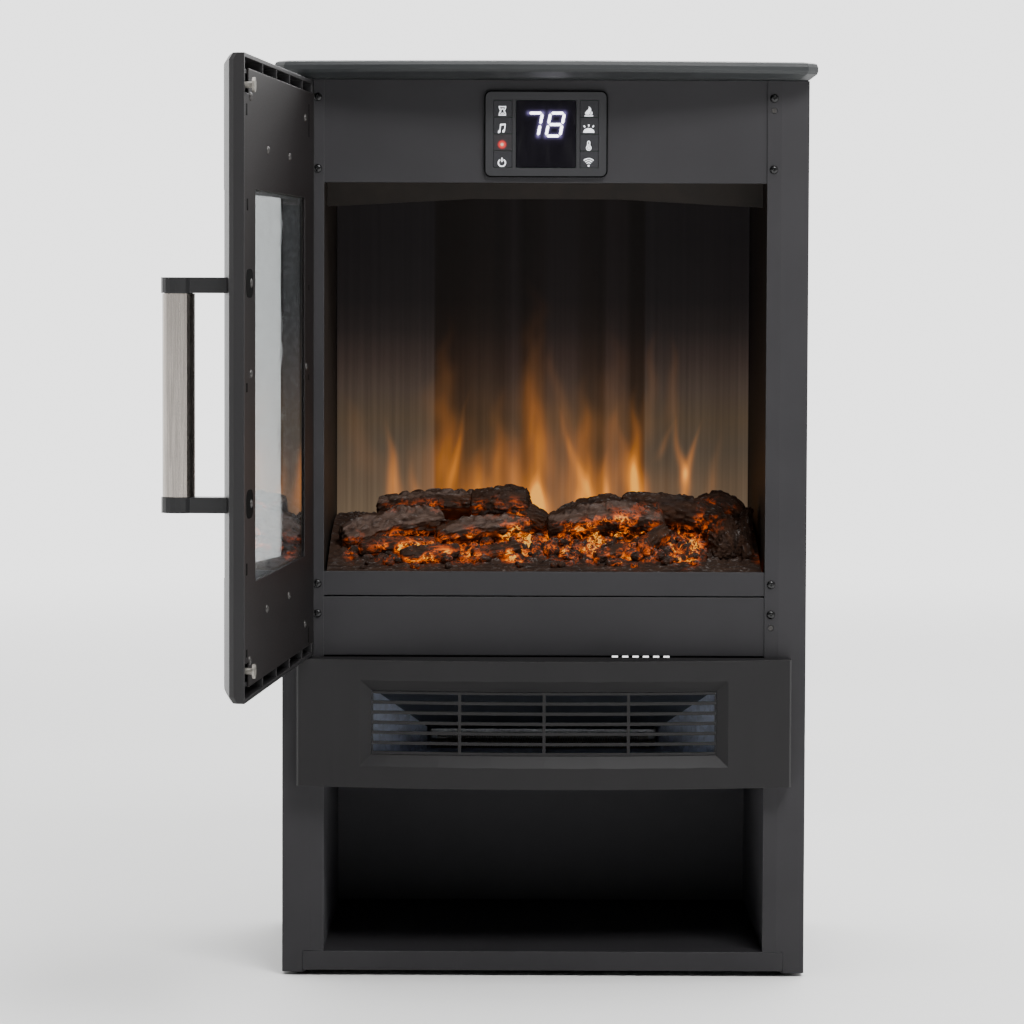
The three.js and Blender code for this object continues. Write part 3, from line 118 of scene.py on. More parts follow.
def add_node(
    tree: Tree,
    kind: str,
    settings: dict[str, object] | None = None,
    inputs: dict[str | int, object] | None = None,
) -> Node:
    """Adds one node with its settings, constants and links.

    Args:
        tree: the node tree to add to.
        kind: the node's type name without its ShaderNode prefix.
        settings: attributes of the node.
        inputs: socket name or index to a value, or to an output socket that is linked in.

    Returns:
        The new node.
    """
    node = tree.nodes.new("ShaderNode" + kind)
    for name, value in (settings or {}).items():
        setattr(node, name, value)
    for key, value in (inputs or {}).items():
        if isinstance(value, Socket):
            tree.links.new(value, node.inputs[key])
        else:
            node.inputs[key].default_value = value
    return node


def ramp(tree: Tree, factor: Socket, stops: Stops) -> Socket:
    """A colour ramp over hex colours.

    Args:
        tree: the node tree to add to.
        factor: what the ramp is read with.
        stops: position and hex colour of each stop, in order.

    Returns:
        The ramp's colour output.
    """
    node = add_node(tree, "ValToRGB", inputs={"Fac": factor})
    marks = node.color_ramp.elements
    marks.remove(marks[1])
    marks[0].position, marks[0].color = stops[0][0], linear(stops[0][1])
    for place, colour in stops[1:]:
        marks.new(place).color = linear(colour)
    return node.outputs["Color"]


def blend_colour(tree: Tree, factor: object, first: object, second: object, mode: str = "MIX") -> Socket:
    """Mixes two colours.

    Args:
        tree: the node tree to add to.
        factor: socket or number, 0 for the first and 1 for the second.
        first: socket or colour.
        second: socket or colour.
        mode: the blend type.

    Returns:
        The mixed colour's socket.
    """
    settings = {"data_type": "RGBA", "blend_type": mode, "clamp_result": mode != "ADD"}
    return add_node(tree, "Mix", settings, {0: factor, 6: first, 7: second}).outputs[2]


def blend_value(tree: Tree, factor: object, first: object, second: object) -> Socket:
    """Mixes two numbers.

    Args:
        tree: the node tree to add to.
        factor: socket or number, 0 for the first and 1 for the second.
        first: socket or number.
        second: socket or number.

    Returns:
        The mixed number's socket.
    """
    return add_node(tree, "Mix", {"data_type": "FLOAT"}, {0: factor, 2: first, 3: second}).outputs[0]


def calculate(tree: Tree, operation: str, *values: object) -> Socket:
    """One arithmetic step between numbers.

    Args:
        tree: the node tree to add to.
        operation: the Math node's operation.
        *values: sockets or numbers, in the node's order.

    Returns:
        The result's socket.
    """
    return add_node(tree, "Math", {"operation": operation}, dict(enumerate(values))).outputs[0]


def product(tree: Tree, *values: object) -> Socket:
    """Multiplies sockets and numbers.

    Args:
        tree: the node tree to add to.
        *values: the sockets and numbers, at least one.

    Returns:
        The product's socket.
    """
    result = values[0]
    for value in values[1:]:
        result = calculate(tree, "MULTIPLY", result, value)
    return result


def remap(
    tree: Tree,
    value: Socket,
    low: float,
    high: float,
    span: tuple[float, float] = (0.0, 1.0),
    smooth: bool = False,
) -> Socket:
    """Maps a number from one range to another and holds it there.

    Args:
        tree: the node tree to add to.
        value: the number.
        low: what becomes the span's first value.
        high: what becomes the span's last value.
        span: the new range.
        smooth: whether it starts and ends softly.

    Returns:
        The result's socket.
    """
    return add_node(
        tree,
        "MapRange",
        {"interpolation_type": "SMOOTHSTEP" if smooth else "LINEAR"},
        {"Value": value, "From Min": low, "From Max": high, "To Min": span[0], "To Max": span[1]},
    ).outputs[0]


def attribute(tree: Tree, name: str, output: str = "Fac") -> Socket:
    """Reads one of the piece's own attributes."""
    return add_node(tree, "Attribute", {"attribute_name": name}).outputs[output]


def facing_up(tree: Tree) -> Socket:
    """How far the surface looks upward, from -1 to 1."""
    normal = add_node(tree, "NewGeometry").outputs["Normal"]
    return add_node(tree, "SeparateXYZ", inputs={0: normal}).outputs[2]


def own_place(tree: Tree) -> Socket:
    """The place on the piece, in its own coordinates."""
    return add_node(tree, "TexCoord").outputs["Object"]


def grain(
    tree: Tree,
    size: float,
    detail: float = 2.0,
    stretch: tuple[float, float, float] = (1, 1, 1),
    contrast: tuple[float, float] = (0.0, 1.0),
    where: Socket | None = None,
) -> Socket:
    """Noise on object coordinates, sized in millimetres.

    Args:
        tree: the node tree to add to.
        size: typical size of a grain in mm.
        detail: octaves of finer noise.
        stretch: how many times longer a grain is along each axis.
        contrast: the noise values that become 0 and 1.
        where: coordinates to use in place of the object's own.

    Returns:
        A socket from 0 to 1.
    """
    start = where or own_place(tree)
    scaled = add_node(
        tree, "Mapping", inputs={"Vector": start, "Scale": tuple(1 / (size * MM * s) for s in stretch)}
    )
    texture = add_node(tree, "TexNoise", inputs={"Vector": scaled.outputs[0], "Scale": 1.0, "Detail": detail})
    return remap(tree, texture.outputs[0], *contrast)


def bump(
    tree: Tree,
    height: Socket,
    depth: float,
    strength: float = 1.0,
    normal: Socket | None = None,
) -> Socket:
    """Fine relief.

    Args:
        tree: the node tree to add to.
        height: the pattern, from 0 to 1.
        depth: the relief's full height in mm.
        strength: share of the effect.
        normal: a relief to lay this one over.

    Returns:
        The normal's socket.
    """
    inputs: dict[str | int, object] = {"Height": height, "Distance": depth * MM, "Strength": strength}
    if normal is not None:
        inputs["Normal"] = normal
    return add_node(tree, "Bump", inputs=inputs).outputs[0]


def edge_mask(tree: Tree, radius: float) -> tuple[Socket, Socket]:
    """Finds a part's edges by rounding them off in the shading.

    Args:
        tree: the node tree to add to.
        radius: the edge rounding in mm.

    Returns:
        The rounded normal, and a mask that is 1 on the edges.
    """
    rounded = add_node(tree, "Bevel", {"samples": 6}, {"Radius": radius * MM}).outputs[0]
    true_normal = add_node(tree, "NewGeometry").outputs["True Normal"]
    alike = add_node(tree, "VectorMath", {"operation": "DOT_PRODUCT"}, {0: rounded, 1: true_normal})
    return rounded, remap(tree, alike.outputs["Value"], 0.995, 0.8)


# --------------------------------------------------------------------------- finishes


@dataclass(frozen=True)
class Finish:
    """A surface as its maker would name it, built as a node material on first use."""

    name: str
    colour: str
    roughness: float = 0.5
    metallic: float = 0.0
    ior: float = 1.5
    specular: float = 0.5

    def material(self) -> bpy.types.Material:
        """The finish as a material, made once.

        Returns:
            The material.
        """
        made = bpy.data.materials.get(self.name)
        if made is not None:
            return made
        made = bpy.data.materials.new(self.name)
        made.use_nodes = True
        made.diffuse_color = linear(self.colour)
        tree = made.node_tree
        tree.nodes.clear()
        shader = add_node(
            tree,
            "BsdfPrincipled",
            inputs={
                "Base Color": linear(self.colour),
                "Roughness": self.roughness,
                "Metallic": self.metallic,
                "IOR": self.ior,
                "Specular IOR Level": self.specular,
            },
        )
        add_node(tree, "OutputMaterial", inputs={"Surface": shader.outputs[0]})
        self.dress(tree, shader)
        return made

    def dress(self, tree: Tree, shader: Node) -> None:
        """Adds the finish's own pattern.

        Args:
            tree: the material's tree.
            shader: its principled shader.
        """


def tint(tree: Tree, shader: Node, colour: Socket) -> None:
    """Links a colour pattern into a shader's base colour."""
    tree.links.new(colour, shader.inputs["Base Color"])


def roughen(tree: Tree, shader: Node, value: Socket) -> None:
    """Links a roughness pattern into a shader."""
    tree.links.new(value, shader.inputs["Roughness"])


def relieve(tree: Tree, shader: Node, normal: Socket) -> None:
    """Links a relief into a shader's normal."""
    tree.links.new(normal, shader.inputs["Normal"])


def light_up(tree: Tree, shader: Node, colour: Socket, strength: float) -> None:
    """Lets a surface give light.

    Args:
        tree: the material's tree.
        shader: its principled shader.
        colour: the light's colour.
        strength: how strong it is.
    """
    tree.links.new(colour, shader.inputs["Emission Color"])
    shader.inputs["Emission Strength"].default_value = strength


def shade(hex_colour: str, factor: float) -> tuple[float, float, float, float]:
    """A hex colour made lighter or darker in linear light.

    Args:
        hex_colour: the sRGB colour.
        factor: what its light is multiplied by.

    Returns:
        The linear colour.
    """
    r, g, b, a = linear(hex_colour)
    return min(r * factor, 1), min(g * factor, 1), min(b * factor, 1), a


@dataclass(frozen=True)
class PowderCoat(Finish):
    """Polyester powder coat on sheet steel, baked: an even, slightly pebbled satin skin, with a
    painted highlight on folds and cut edges."""

    specular: float = 0.3
    # edge colour: a painted highlight along folds and cut edges
    edge_highlight: str = "48494b"
    pebble: float = 0.9  # real pebbling is about 0.3 mm; drawn coarser so that it shows
    edge_radius: float = 0.7
    depth: float = 0.035

    def dress(self, tree: Tree, shader: Node) -> None:
        """Adds pebbling, soft mottling and a painted highlight on the edges.

        Args:
            tree: the material's tree.
            shader: its principled shader.
        """
        rounded, edges = edge_mask(tree, self.edge_radius)
        mottle = grain(tree, 60, 3, contrast=(0.3, 0.7))
        body = blend_colour(tree, mottle, linear(self.colour), shade(self.colour, 1.14))
        # painted highlight: the edges get the lighter edge colour
        tint(tree, shader, blend_colour(tree, edges, body, linear(self.edge_highlight)))
        pebbles = grain(tree, self.pebble, 2)
        roughen(tree, shader, blend_value(tree, pebbles, self.roughness - 0.07, self.roughness + 0.09))
        relieve(tree, shader, bump(tree, pebbles, self.depth, 0.5, rounded))


@dataclass(frozen=True)
class StovePaint(Finish):
    """Matt black heat-resistant paint, sprayed inside the cabinet: dry, with a trace of dust on it."""

    specular: float = 0.25
    dust: str = "1b1a19"

    def dress(self, tree: Tree, shader: Node) -> None:
        """Adds spray mottling, dust on upward faces and a dry grain.

        Args:
            tree: the material's tree.
            shader: its principled shader.
        """
        cloud = grain(tree, 25, 4, contrast=(0.35, 0.75))
        settled = product(tree, calculate(tree, "MAXIMUM", facing_up(tree), 0.15), cloud)
        tint(tree, shader, blend_colour(tree, settled, linear(self.colour), linear(self.dust)))
        fine = grain(tree, 0.8, 2)
        roughen(tree, shader, blend_value(tree, fine, self.roughness - 0.08, self.roughness + 0.08))
        relieve(tree, shader, bump(tree, fine, 0.03, 0.4))


@dataclass(frozen=True)
class ZincPlate(Finish):
    """Hot-dip zinc on thin steel: bluish, with crystal spangles a few millimetres across. Its
    downward-facing side can be darkened towards black as painted shade."""

    spangle: float = 5.0
    # share of painted shade on downward-facing sides
    underside_shade: float = 0.0

    def dress(self, tree: Tree, shader: Node) -> None:
        """Adds spangles in tone and gloss, painted shade on downward faces, and a faint rolling grain.

        Args:
            tree: the material's tree.
            shader: its principled shader.
        """
        size = {"Vector": own_place(tree), "Scale": 1 / (self.spangle * MM)}
        cells = add_node(tree, "TexVoronoi", {"feature": "F1"}, size).outputs["Color"]
        tone = add_node(tree, "RGBToBW", inputs={0: cells}).outputs[0]
        zinc = blend_colour(tree, tone, shade(self.colour, 0.75), shade(self.colour, 1.2))
        # painted shade: faces that look down are darkened towards black
        if self.underside_shade:
            under = remap(tree, facing_up(tree), -0.1, -0.7, (0.0, self.underside_shade))
            zinc = blend_colour(tree, under, zinc, shade(self.colour, 0.02))
        tint(tree, shader, zinc)
        rolled = grain(tree, 0.7, 2, (30, 1, 1))
        spread = calculate(tree, "ADD", product(tree, tone, 0.14), self.roughness)
        roughen(tree, shader, calculate(tree, "ADD", spread, product(tree, rolled, 0.08)))
        relieve(tree, shader, bump(tree, rolled, 0.01, 0.4))


@dataclass(frozen=True)
class BrushedSteel(Finish):
    """Stainless steel brushed with grit belts along the length: silky streaks that spread highlights."""

    streak: float = 0.35
    run: tuple[float, float, float] = (1, 1, 120)

    def dress(self, tree: Tree, shader: Node) -> None:
        """Adds brushed streaks to tone, gloss and relief, and a few smudges.

        Args:
            tree: the material's tree.
            shader: its principled shader.
        """
        streaks = grain(tree, self.streak, 3, self.run, (0.3, 0.7))
        smudge = grain(tree, 18, 2, contrast=(0.5, 0.8))
        tint(tree, shader, blend_colour(tree, streaks, shade(self.colour, 0.78), shade(self.colour, 1.15)))
        gloss = blend_value(tree, streaks, self.roughness + 0.08, self.roughness - 0.06)
        roughen(tree, shader, calculate(tree, "ADD", gloss, product(tree, smudge, 0.08)))
        relieve(tree, shader, bump(tree, streaks, 0.006, 0.5))


@dataclass(frozen=True)
class MouldedPlastic(Finish):
    """Glass-filled nylon or ABS from a spark-eroded mould: a leathery micro-grain and softly rounded
    corners with a painted highlight along them."""

    specular: float = 0.3
    # edge colour: a painted highlight along the rounded corners
    edge_highlight: str = "363637"
    cell: float = 0.8  # real spark grain is about 0.15 mm; drawn coarser so that it shows
    edge_radius: float = 0.6

    def dress(self, tree: Tree, shader: Node) -> None:
        """Adds the mould's grain, flow mottling and a painted highlight on the corners.

        Args:
            tree: the material's tree.
            shader: its principled shader.
        """
        rounded, edges = edge_mask(tree, self.edge_radius)
        size = {"Vector": own_place(tree), "Scale": 1 / (self.cell * MM)}
        cells = add_node(tree, "TexVoronoi", {"feature": "SMOOTH_F1"}, size).outputs["Distance"]
        flow = grain(tree, 45, 3, (1, 1, 2), (0.3, 0.7))
        body = blend_colour(tree, flow, linear(self.colour), shade(self.colour, 1.15))
        # painted highlight: the corners get the lighter edge colour
        tint(tree, shader, blend_colour(tree, edges, body, linear(self.edge_highlight)))
        roughen(tree, shader, blend_value(tree, cells, self.roughness - 0.06, self.roughness + 0.1))
        relieve(tree, shader, bump(tree, cells, 0.02, 0.4, rounded))


@dataclass(frozen=True)
class Rubber(Finish):
    """Moulded nitrile rubber: matt, slightly chalky where it has been handled."""

    def dress(self, tree: Tree, shader: Node) -> None:
        """Adds chalky patches and a fine pitted skin.

        Args:
            tree: the material's tree.
            shader: its principled shader.
        """
        chalk = grain(tree, 4, 4, contrast=(0.45, 0.8))
        tint(tree, shader, blend_colour(tree, chalk, linear(self.colour), shade(self.colour, 2.2)))
        relieve(tree, shader, bump(tree, grain(tree, 0.9, 2), 0.04, 0.5))


@dataclass(frozen=True)
class CircuitLacquer(Finish):
    """Fibreglass board under green solder lacquer, with copper tracks showing as lighter lanes."""

    track: str = "1f6b3a"
    lane: float = 9.0

    def dress(self, tree: Tree, shader: Node) -> None:
        """Adds tracks in two directions and a woven ground.

        Args:
            tree: the material's tree.
            shader: its principled shader.
        """
        size = {
            "Vector": own_place(tree),
            "Scale": 1 / (self.lane * MM),
            "Mortar Size": 0.03,
            "Brick Width": 0.7,
        }
        lanes = add_node(tree, "TexBrick", {"offset": 0.4}, size).outputs["Fac"]
        tint(tree, shader, blend_colour(tree, lanes, linear(self.colour), linear(self.track)))
        relieve(tree, shader, bump(tree, grain(tree, 0.6, 1), 0.02, 0.3))


@dataclass(frozen=True)
class TemperedGlass(Finish):
    """4 mm float glass, tempered and lightly tinted: clear, with a grey-green body colour."""

    def dress(self, tree: Tree, shader: Node) -> None:
        """Lets light through, with a haze of dust that shows only in the gloss.

        Args:
            tree: the material's tree.
            shader: its principled shader.
        """
        shader.inputs["Transmission Weight"].default_value = 1.0
        haze = grain(tree, 22, 4, contrast=(0.5, 0.85))
        roughen(tree, shader, blend_value(tree, haze, self.roughness, self.roughness + 0.05))


# --------------------------------------------------------------------------- lit and fired finishes


@dataclass(frozen=True)
class FlameFilm(Finish):
    """Flames thrown on a frosted acrylic screen: soft amber tongues over a warm grey veil that fades
    to black above, with painted reflections of soft boxes as upright bands and fine upright streaks."""

    low: float = 390.0
    high: float = 640.0
    half: float = 190.0
    specular: float = 0.15
    glow: float = 1.0
    blaze: float = 1.25
    veil: Stops = (
        (0.0, "927d65"), (0.11, "8a745e"), (0.225, "776756"), (0.335, "74614d"), (0.446, "65554a"),
        (0.557, "4f413b"), (0.667, "352d2b"), (0.777, "262121"), (1.0, "1f1b1c"),
    )
    # painted reflection: lighter and darker upright bands standing for soft boxes reflected in the screen
    reflected_bands: Stops = (
        (0.03, "c9c9c9"), (0.235, "cfcfcf"), (0.24, "948370"), (0.30, "988674"), (0.36, "b5a798"),
        (0.405, "a4968a"), (0.43, "cac0bc"), (0.455, "948475"), (0.50, "ae9f92"), (0.515, "c6bdb9"),
        (0.575, "c3bab6"), (0.60, "aa9c8e"), (0.645, "9e8f80"), (0.66, "cdc3bf"), (0.70, "bbb0aa"),
        (0.715, "918272"), (0.745, "8c7d6d"), (0.75, "c4c4c4"), (0.97, "cbcbcb"),
    )
    flames: Stops = (
        (0.0, "000000"), (0.12, "3a210a"), (0.3, "67390f"), (0.55, "9c5812"), (0.8, "d67c18"),
        (1.0, "ffaa30"),
    )

    def dress(self, tree: Tree, shader: Node) -> None:
        """Adds the veil, the painted reflections in bands and streaks, and the flames as light from the
        surface.

        Args:
            tree: the material's tree.
            shader: its principled shader.
        """
        point = add_node(tree, "SeparateXYZ", inputs={0: own_place(tree)})
        rise = remap(tree, point.outputs[2], self.low * MM, self.high * MM)
        across = remap(tree, point.outputs[0], -self.half * MM, self.half * MM)
        # the bands and the fine streaks are painted reflections of soft boxes, laid over the veil in colour
        # and light
        veil, reflected_bands = ramp(tree, rise, self.veil), ramp(tree, across, self.reflected_bands)
        # painted reflection: fine upright streaks
        fine = grain(tree, 3.2, 2, (1, 1, 90), (0.3, 0.7))
        lines = blend_colour(tree, fine, linear("d6d6d6"), linear("f2f2f2"))
        veil_with_reflections = blend_colour(tree, 1.0, veil, reflected_bands, "MULTIPLY")
        backdrop = blend_colour(tree, 1.0, veil_with_reflections, lines, "MULTIPLY")
        heat = ramp(tree, attribute(tree, "flame_light"), self.flames)
        fire = add_node(tree, "VectorMath", {"operation": "SCALE"}, {0: heat, "Scale": self.blaze}).outputs[0]
        tint(tree, shader, blend_colour(tree, 1.0, backdrop, linear("303030"), "MULTIPLY"))
        light_up(tree, shader, blend_colour(tree, 1.0, backdrop, fire, "ADD"), self.glow)


@dataclass(frozen=True)
class BurntResin(Finish):
    """Cast translucent resin, painted as charred bark: amber lamps under it shine out of the cracks,
    the ridges are dry-brushed with pale ash, and faces that look up are lighter still as a painted highlight."""

    ash: str = "8d8884"
    bark: str = "3b2619"
    bare: str = "5b4a41"
    fire: Stops = (
        (0.0, "000000"), (0.1, "150500"), (0.32, "6a2402"), (0.6, "c45004"), (0.85, "f5800a"),
        (1.0, "ffc04a"),
    )
    specular: float = 0.2
    glow: float = 1.15
    grain_size: float = 7.0

    def dress(self, tree: Tree, shader: Node) -> None:
        """Adds bark tones, ash on the ridges, a painted highlight on upward faces and light in the cracks,
        from the piece's own attributes.

        Args:
            tree: the material's tree.
            shader: its principled shader.
        """
        along = attribute(tree, "along", "Vector")
        relief = attribute(tree, "relief")
        fibres = grain(tree, self.grain_size, 5, (4, 1, 1), (0.28, 0.72), along)
        specks = grain(tree, 1.4, 3, (2, 1, 1), (0.5, 0.72), along)
        body = blend_colour(tree, fibres, linear(self.colour), linear(self.bark))
        flakes = grain(tree, 6, 5, (2, 1, 1), (0.3, 0.66), along)
        powder = product(tree, attribute(tree, "bare_wood"), flakes)
        wooden = blend_colour(tree, powder, body, linear(self.bare))
        # painted highlight: the ash is paler on faces that look up; the ash on the ridges is real
        # dry-brushing
        lit_side = remap(tree, facing_up(tree), -0.2, 0.9)
        brushed = product(tree, remap(tree, relief, 0.5, 0.92), lit_side, specks)
        tint(tree, shader, blend_colour(tree, brushed, wooden, linear(self.ash)))
        roughen(tree, shader, blend_value(tree, fibres, self.roughness - 0.15, self.roughness + 0.1))
        relieve(tree, shader, bump(tree, fibres, 0.9, 0.7, bump(tree, specks, 0.5, 0.5)))
        veins = calculate(tree, "MAXIMUM", self.vein(tree, along, 11, 0.05), self.vein(tree, along, 5, 0.035))
        open_ways = calculate(tree, "MAXIMUM", remap(tree, relief, 0.42, 0.15), veins)
        glowing = calculate(tree, "ADD", product(tree, open_ways, 0.8), 0.2)
        patches = grain(tree, 13, 3, contrast=(0.4, 0.6))
        fire = ramp(
            tree,
            product(tree, glowing, attribute(tree, "ember_heat"), patches),
            self.fire,
        )
        light_up(tree, shader, fire, self.glow)

    @staticmethod
    def vein(tree: Tree, along: Socket, size: float, width: float) -> Socket:
        """Winding lines of light, where noise passes its middle value.

        Args:
            tree: the material's tree.
            along: the piece's own coordinates.
            size: typical distance between lines in mm.
            width: the lines' half width as a share of the noise's range.

        Returns:
            A socket that is 1 on the lines.
        """
        winding = grain(tree, size, 4, where=along)
        away = calculate(tree, "ABSOLUTE", calculate(tree, "SUBTRACT", winding, 0.5))
        return remap(tree, away, width, 0.0)


@dataclass(frozen=True)
class BacklitPrint(Finish):
    """White light through a printed symbol or a display segment: even, with a trace of unevenness."""

    light: str = "ffffff"
    strength: float = 1.5

    def dress(self, tree: Tree, shader: Node) -> None:
        """Adds the light and a trace of unevenness from the lamp behind.

        Args:
            tree: the material's tree.
            shader: its principled shader.
        """
        uneven = grain(tree, 3, 1, contrast=(0.2, 0.8))
        light = blend_colour(tree, uneven, shade(self.light, 0.82), linear(self.light))
        light_up(tree, shader, light, self.strength)


@dataclass(frozen=True)
class SmokedWindow(Finish):
    """Smoked acrylic over the display: nearly black, with a violet bloom round the lit segments."""

    bloom: Stops = (
        (0.0, "050408"), (0.2, "1c1828"), (0.55, "5d5480"), (0.8, "9c90cc"), (1.0, "e0d8ff"),
    )
    strength: float = 0.8

    def dress(self, tree: Tree, shader: Node) -> None:
        """Adds the bloom from the piece's own attribute, over finger smears in the gloss.

        Args:
            tree: the material's tree.
            shader: its principled shader.
        """
        light = ramp(tree, attribute(tree, "bloom"), self.bloom)
        light_up(tree, shader, light, self.strength)
        smear = grain(tree, 9, 4, (1, 1, 3), (0.45, 0.8))
        roughen(tree, shader, blend_value(tree, smear, self.roughness, self.roughness + 0.1))


@dataclass(frozen=True)
class LampLens(Finish):
    """Smoked cap over a red lamp: a pale hot middle in a saturated ring on a dark cell."""

    middle: tuple[float, float, float] = (-37.6, -162.5, 718.0)
    reach: float = 8.88
    red: Stops = (
        (0.0, "fff0e4"), (0.1, "ffd0b8"), (0.2, "ff4426"), (0.33, "f2100a"), (0.4, "8c0705"),
        (0.48, "2a0404"), (0.62, "000000"),
    )

    def dress(self, tree: Tree, shader: Node) -> None:
        """Adds the lamp's light, falling off from the lens's middle.

        Args:
            tree: the material's tree.
            shader: its principled shader.
        """
        ends = {0: own_place(tree), 1: tuple(mm(*self.middle))}
        away = add_node(tree, "VectorMath", {"operation": "DISTANCE"}, ends).outputs["Value"]
        light_up(tree, shader, ramp(tree, remap(tree, away, 0.0, self.reach * MM), self.red), 1.0)
        relieve(tree, shader, bump(tree, grain(tree, 0.9, 1), 0.01, 0.3))


class Look(Enum):
    """The finishes of the stove, by what they are on it."""

    CABINET = PowderCoat("satin_powder_coat", "2d2c2e", 0.5, specular=0.2)
    TOP = PowderCoat("fine_powder_coat", "2b2d2e", 0.42, edge_highlight="444648", pebble=0.7, edge_radius=1.0)
    BACK_PLATE = PowderCoat("brown_black_powder_coat", "191616", 0.5, specular=0.17, edge_highlight="3a3636")
    # painted light: a grey far lighter than black stove paint, standing for light inside the niche
    INSIDE = StovePaint("stove_paint_lightened_as_painted_light", "4b4a4d", 0.72, dust="565558")
    FIREBOX = StovePaint("firebox_stove_paint", "1e1915", 0.6, dust="43382e")
    # the duct's downward faces carry painted shade
    DUCT = ZincPlate("hot_dip_zinc", "bac2d4", 0.42, 0.5, underside_shade=0.9)
    BARE = ZincPlate("electro_zinc", "b9bcc0", 0.24, 1.0, spangle=1.6)
    HANDLE = BrushedSteel("brushed_stainless_tube", "a39c95", 0.26, 1.0)
    STRIKE = BrushedSteel("ground_steel_strike", "9a968f", 0.42, 0.85, streak=1.2, run=(3, 1, 3))
    VANES = BrushedSteel("rolled_bright_vanes", "cfcbc4", 0.2, 1.0, run=(60, 1, 1))
    FASCIA = MouldedPlastic("moulded_fascia_nylon", "1b1a1b", 0.46, specular=0.22, edge_highlight="2a2a2a")
    DOOR = MouldedPlastic("moulded_door_nylon", "1b1a1b", 0.44, edge_highlight="4a4848")
    BRACKET = MouldedPlastic("moulded_bracket_nylon", "1b1b1c", 0.36, edge_highlight="444446")
    BUSH = MouldedPlastic("moulded_acetal_bush", "161616", 0.4)
    POD = MouldedPlastic("moulded_pod_abs", "2c2c2e", 0.38, edge_highlight="303033", cell=0.6)
    KEY = MouldedPlastic("moulded_key_abs", "29292c", 0.34, edge_highlight="2e2e32", cell=0.6, edge_radius=0.3)
    WINDOW = SmokedWindow("smoked_acrylic_window", "0c0a0f", 0.07)
    FOOT = Rubber("moulded_rubber_foot", "0c0c0c", 0.85)
    BOARD = CircuitLacquer("lacquered_circuit_board", "123d22", 0.35)
    GLASS = TemperedGlass("tempered_door_glass", "cfd4d4", 0.01, ior=1.5)
    FILM = FlameFilm("lit_flame_film", "2a2521", 0.6)
    SCREEN = FlameFilm("frosted_screen_acrylic", "2a2521", 0.6, glow=0.25)
    LOG = BurntResin("charred_log_resin", "1a100b", 0.74)
    EMBER = BurntResin("glowing_ember_resin", "1c120d", 0.8, bark="36251b", grain_size=4.5)
    SYMBOL = BacklitPrint("backlit_symbol_print", "e8e8ea", 0.4, light="e2e4ea", strength=1.5)
    SEGMENT = BacklitPrint("lit_display_segment", "ffffff", 0.4, light="f6f2ff", strength=5.0)
    LAMP = LampLens("red_lamp_lens", "232023", 0.3)
    WIRE = BrushedSteel("nichrome_heating_wire", "6f6862", 0.42, 1.0, run=(20, 1, 1))
    MICA = StovePaint("mica_sheet", "5f5547", 0.45, dust="8a7d69")
    SCREW_ZINC = ZincPlate("zinc_dome_screw", "474544", 0.34, 0.9, spangle=1.0)
    SCREW_BLACK = PowderCoat(
        "black_oxide_screw",
        "0c0c0d",
        0.24,
        0.3,
        specular=0.6,
        edge_highlight="1c1c1e",
        edge_radius=0.15,
        depth=0.01,
    )
    GASKET = Rubber("foam_glass_gasket", "747477", 0.85, specular=0.2)
    # painted shadow: a black line standing for the shadow gap round the pod
    SHADOW_GAP = Rubber("painted_shadow_gap_black", "040404", 0.9, specular=0.05)
    # painted shade: black, nearly glossless blocks and pads standing for the dark of slots and recesses
    SLOT_SHADE = MouldedPlastic(
        "painted_slot_shade", "040404", 0.8, specular=0.05, edge_highlight="1c1c1c", edge_radius=0.2
    )
    WINDING = BrushedSteel("enamelled_copper_winding", "8a4a26", 0.34, 1.0, run=(1, 40, 1))

    @property
    def material(self) -> bpy.types.Material:
        """The finish as a material."""
        return self.value.material()


# --------------------------------------------------------------------------- shaping


def finished(
    name: str,
    bm: Shape,
    look: Look,
    body: str = "cabinet",
    slot: str | None = None,
    replaces: Sequence[str] = (),
    sharp: float = 40.0,
) -> Piece:
    """Turns a shape into a finished piece that rides on a body.

    Args:
        name: the piece's name.
        bm: the shape, in place in the row frame; it is used up.
        look: its finish.
        body: the body it rides on.
        slot: the record's material slot; not used.
        replaces: CAD nodes that it stands for.
        sharp: edges that turn more than this many degrees stay crisp.

    Returns:
        The piece's object.
    """
    mesh = bpy.data.meshes.new(name)
    bm.to_mesh(mesh)
    bm.free()
    mesh.shade_smooth()
    mesh.set_sharp_from_angle(angle=math.radians(sharp))
    mesh.materials.append(look.material)
    piece = bpy.data.objects.new(name, mesh)
    bpy.context.scene.collection.objects.link(piece)
    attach(piece, body)
    if replaces:
        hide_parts(*replaces)
    return piece


def smooth_step(value: float, low: float, high: float) -> float:
    """Rises smoothly from 0 at low to 1 at high."""
    share = min(max((value - low) / (high - low), 0.0), 1.0)
    return share * share * (3 - 2 * share)


def move(bm: Shape, matrix: Matrix, verts: Iterable[bmesh.types.BMVert] | None = None) -> None:
    """Moves a shape, or some of its corners, by a matrix."""
    bmesh.ops.transform(bm, matrix=matrix, verts=list(verts if verts is not None else bm.verts))


def at(x: float, y: float, z: float) -> Matrix:
    """A shift to a place in millimetres."""
    return Matrix.Translation(mm(x, y, z))


def raise_from(bm: Shape, faces: list[bmesh.types.BMFace], height: float) -> None:
    """Gives flat faces drawn on XY a thickness along +Z and closes them behind.

    Args:
        bm: the shape.
        faces: its flat faces.
        height: the thickness in mm.
    """
    grown = bmesh.ops.extrude_face_region(bm, geom=faces, use_keep_orig=True)
    tops = [item for item in grown["geom"] if isinstance(item, bmesh.types.BMVert)]
    bmesh.ops.translate(bm, vec=(0, 0, height * MM), verts=tops)
    bmesh.ops.recalc_face_normals(bm, faces=bm.faces)


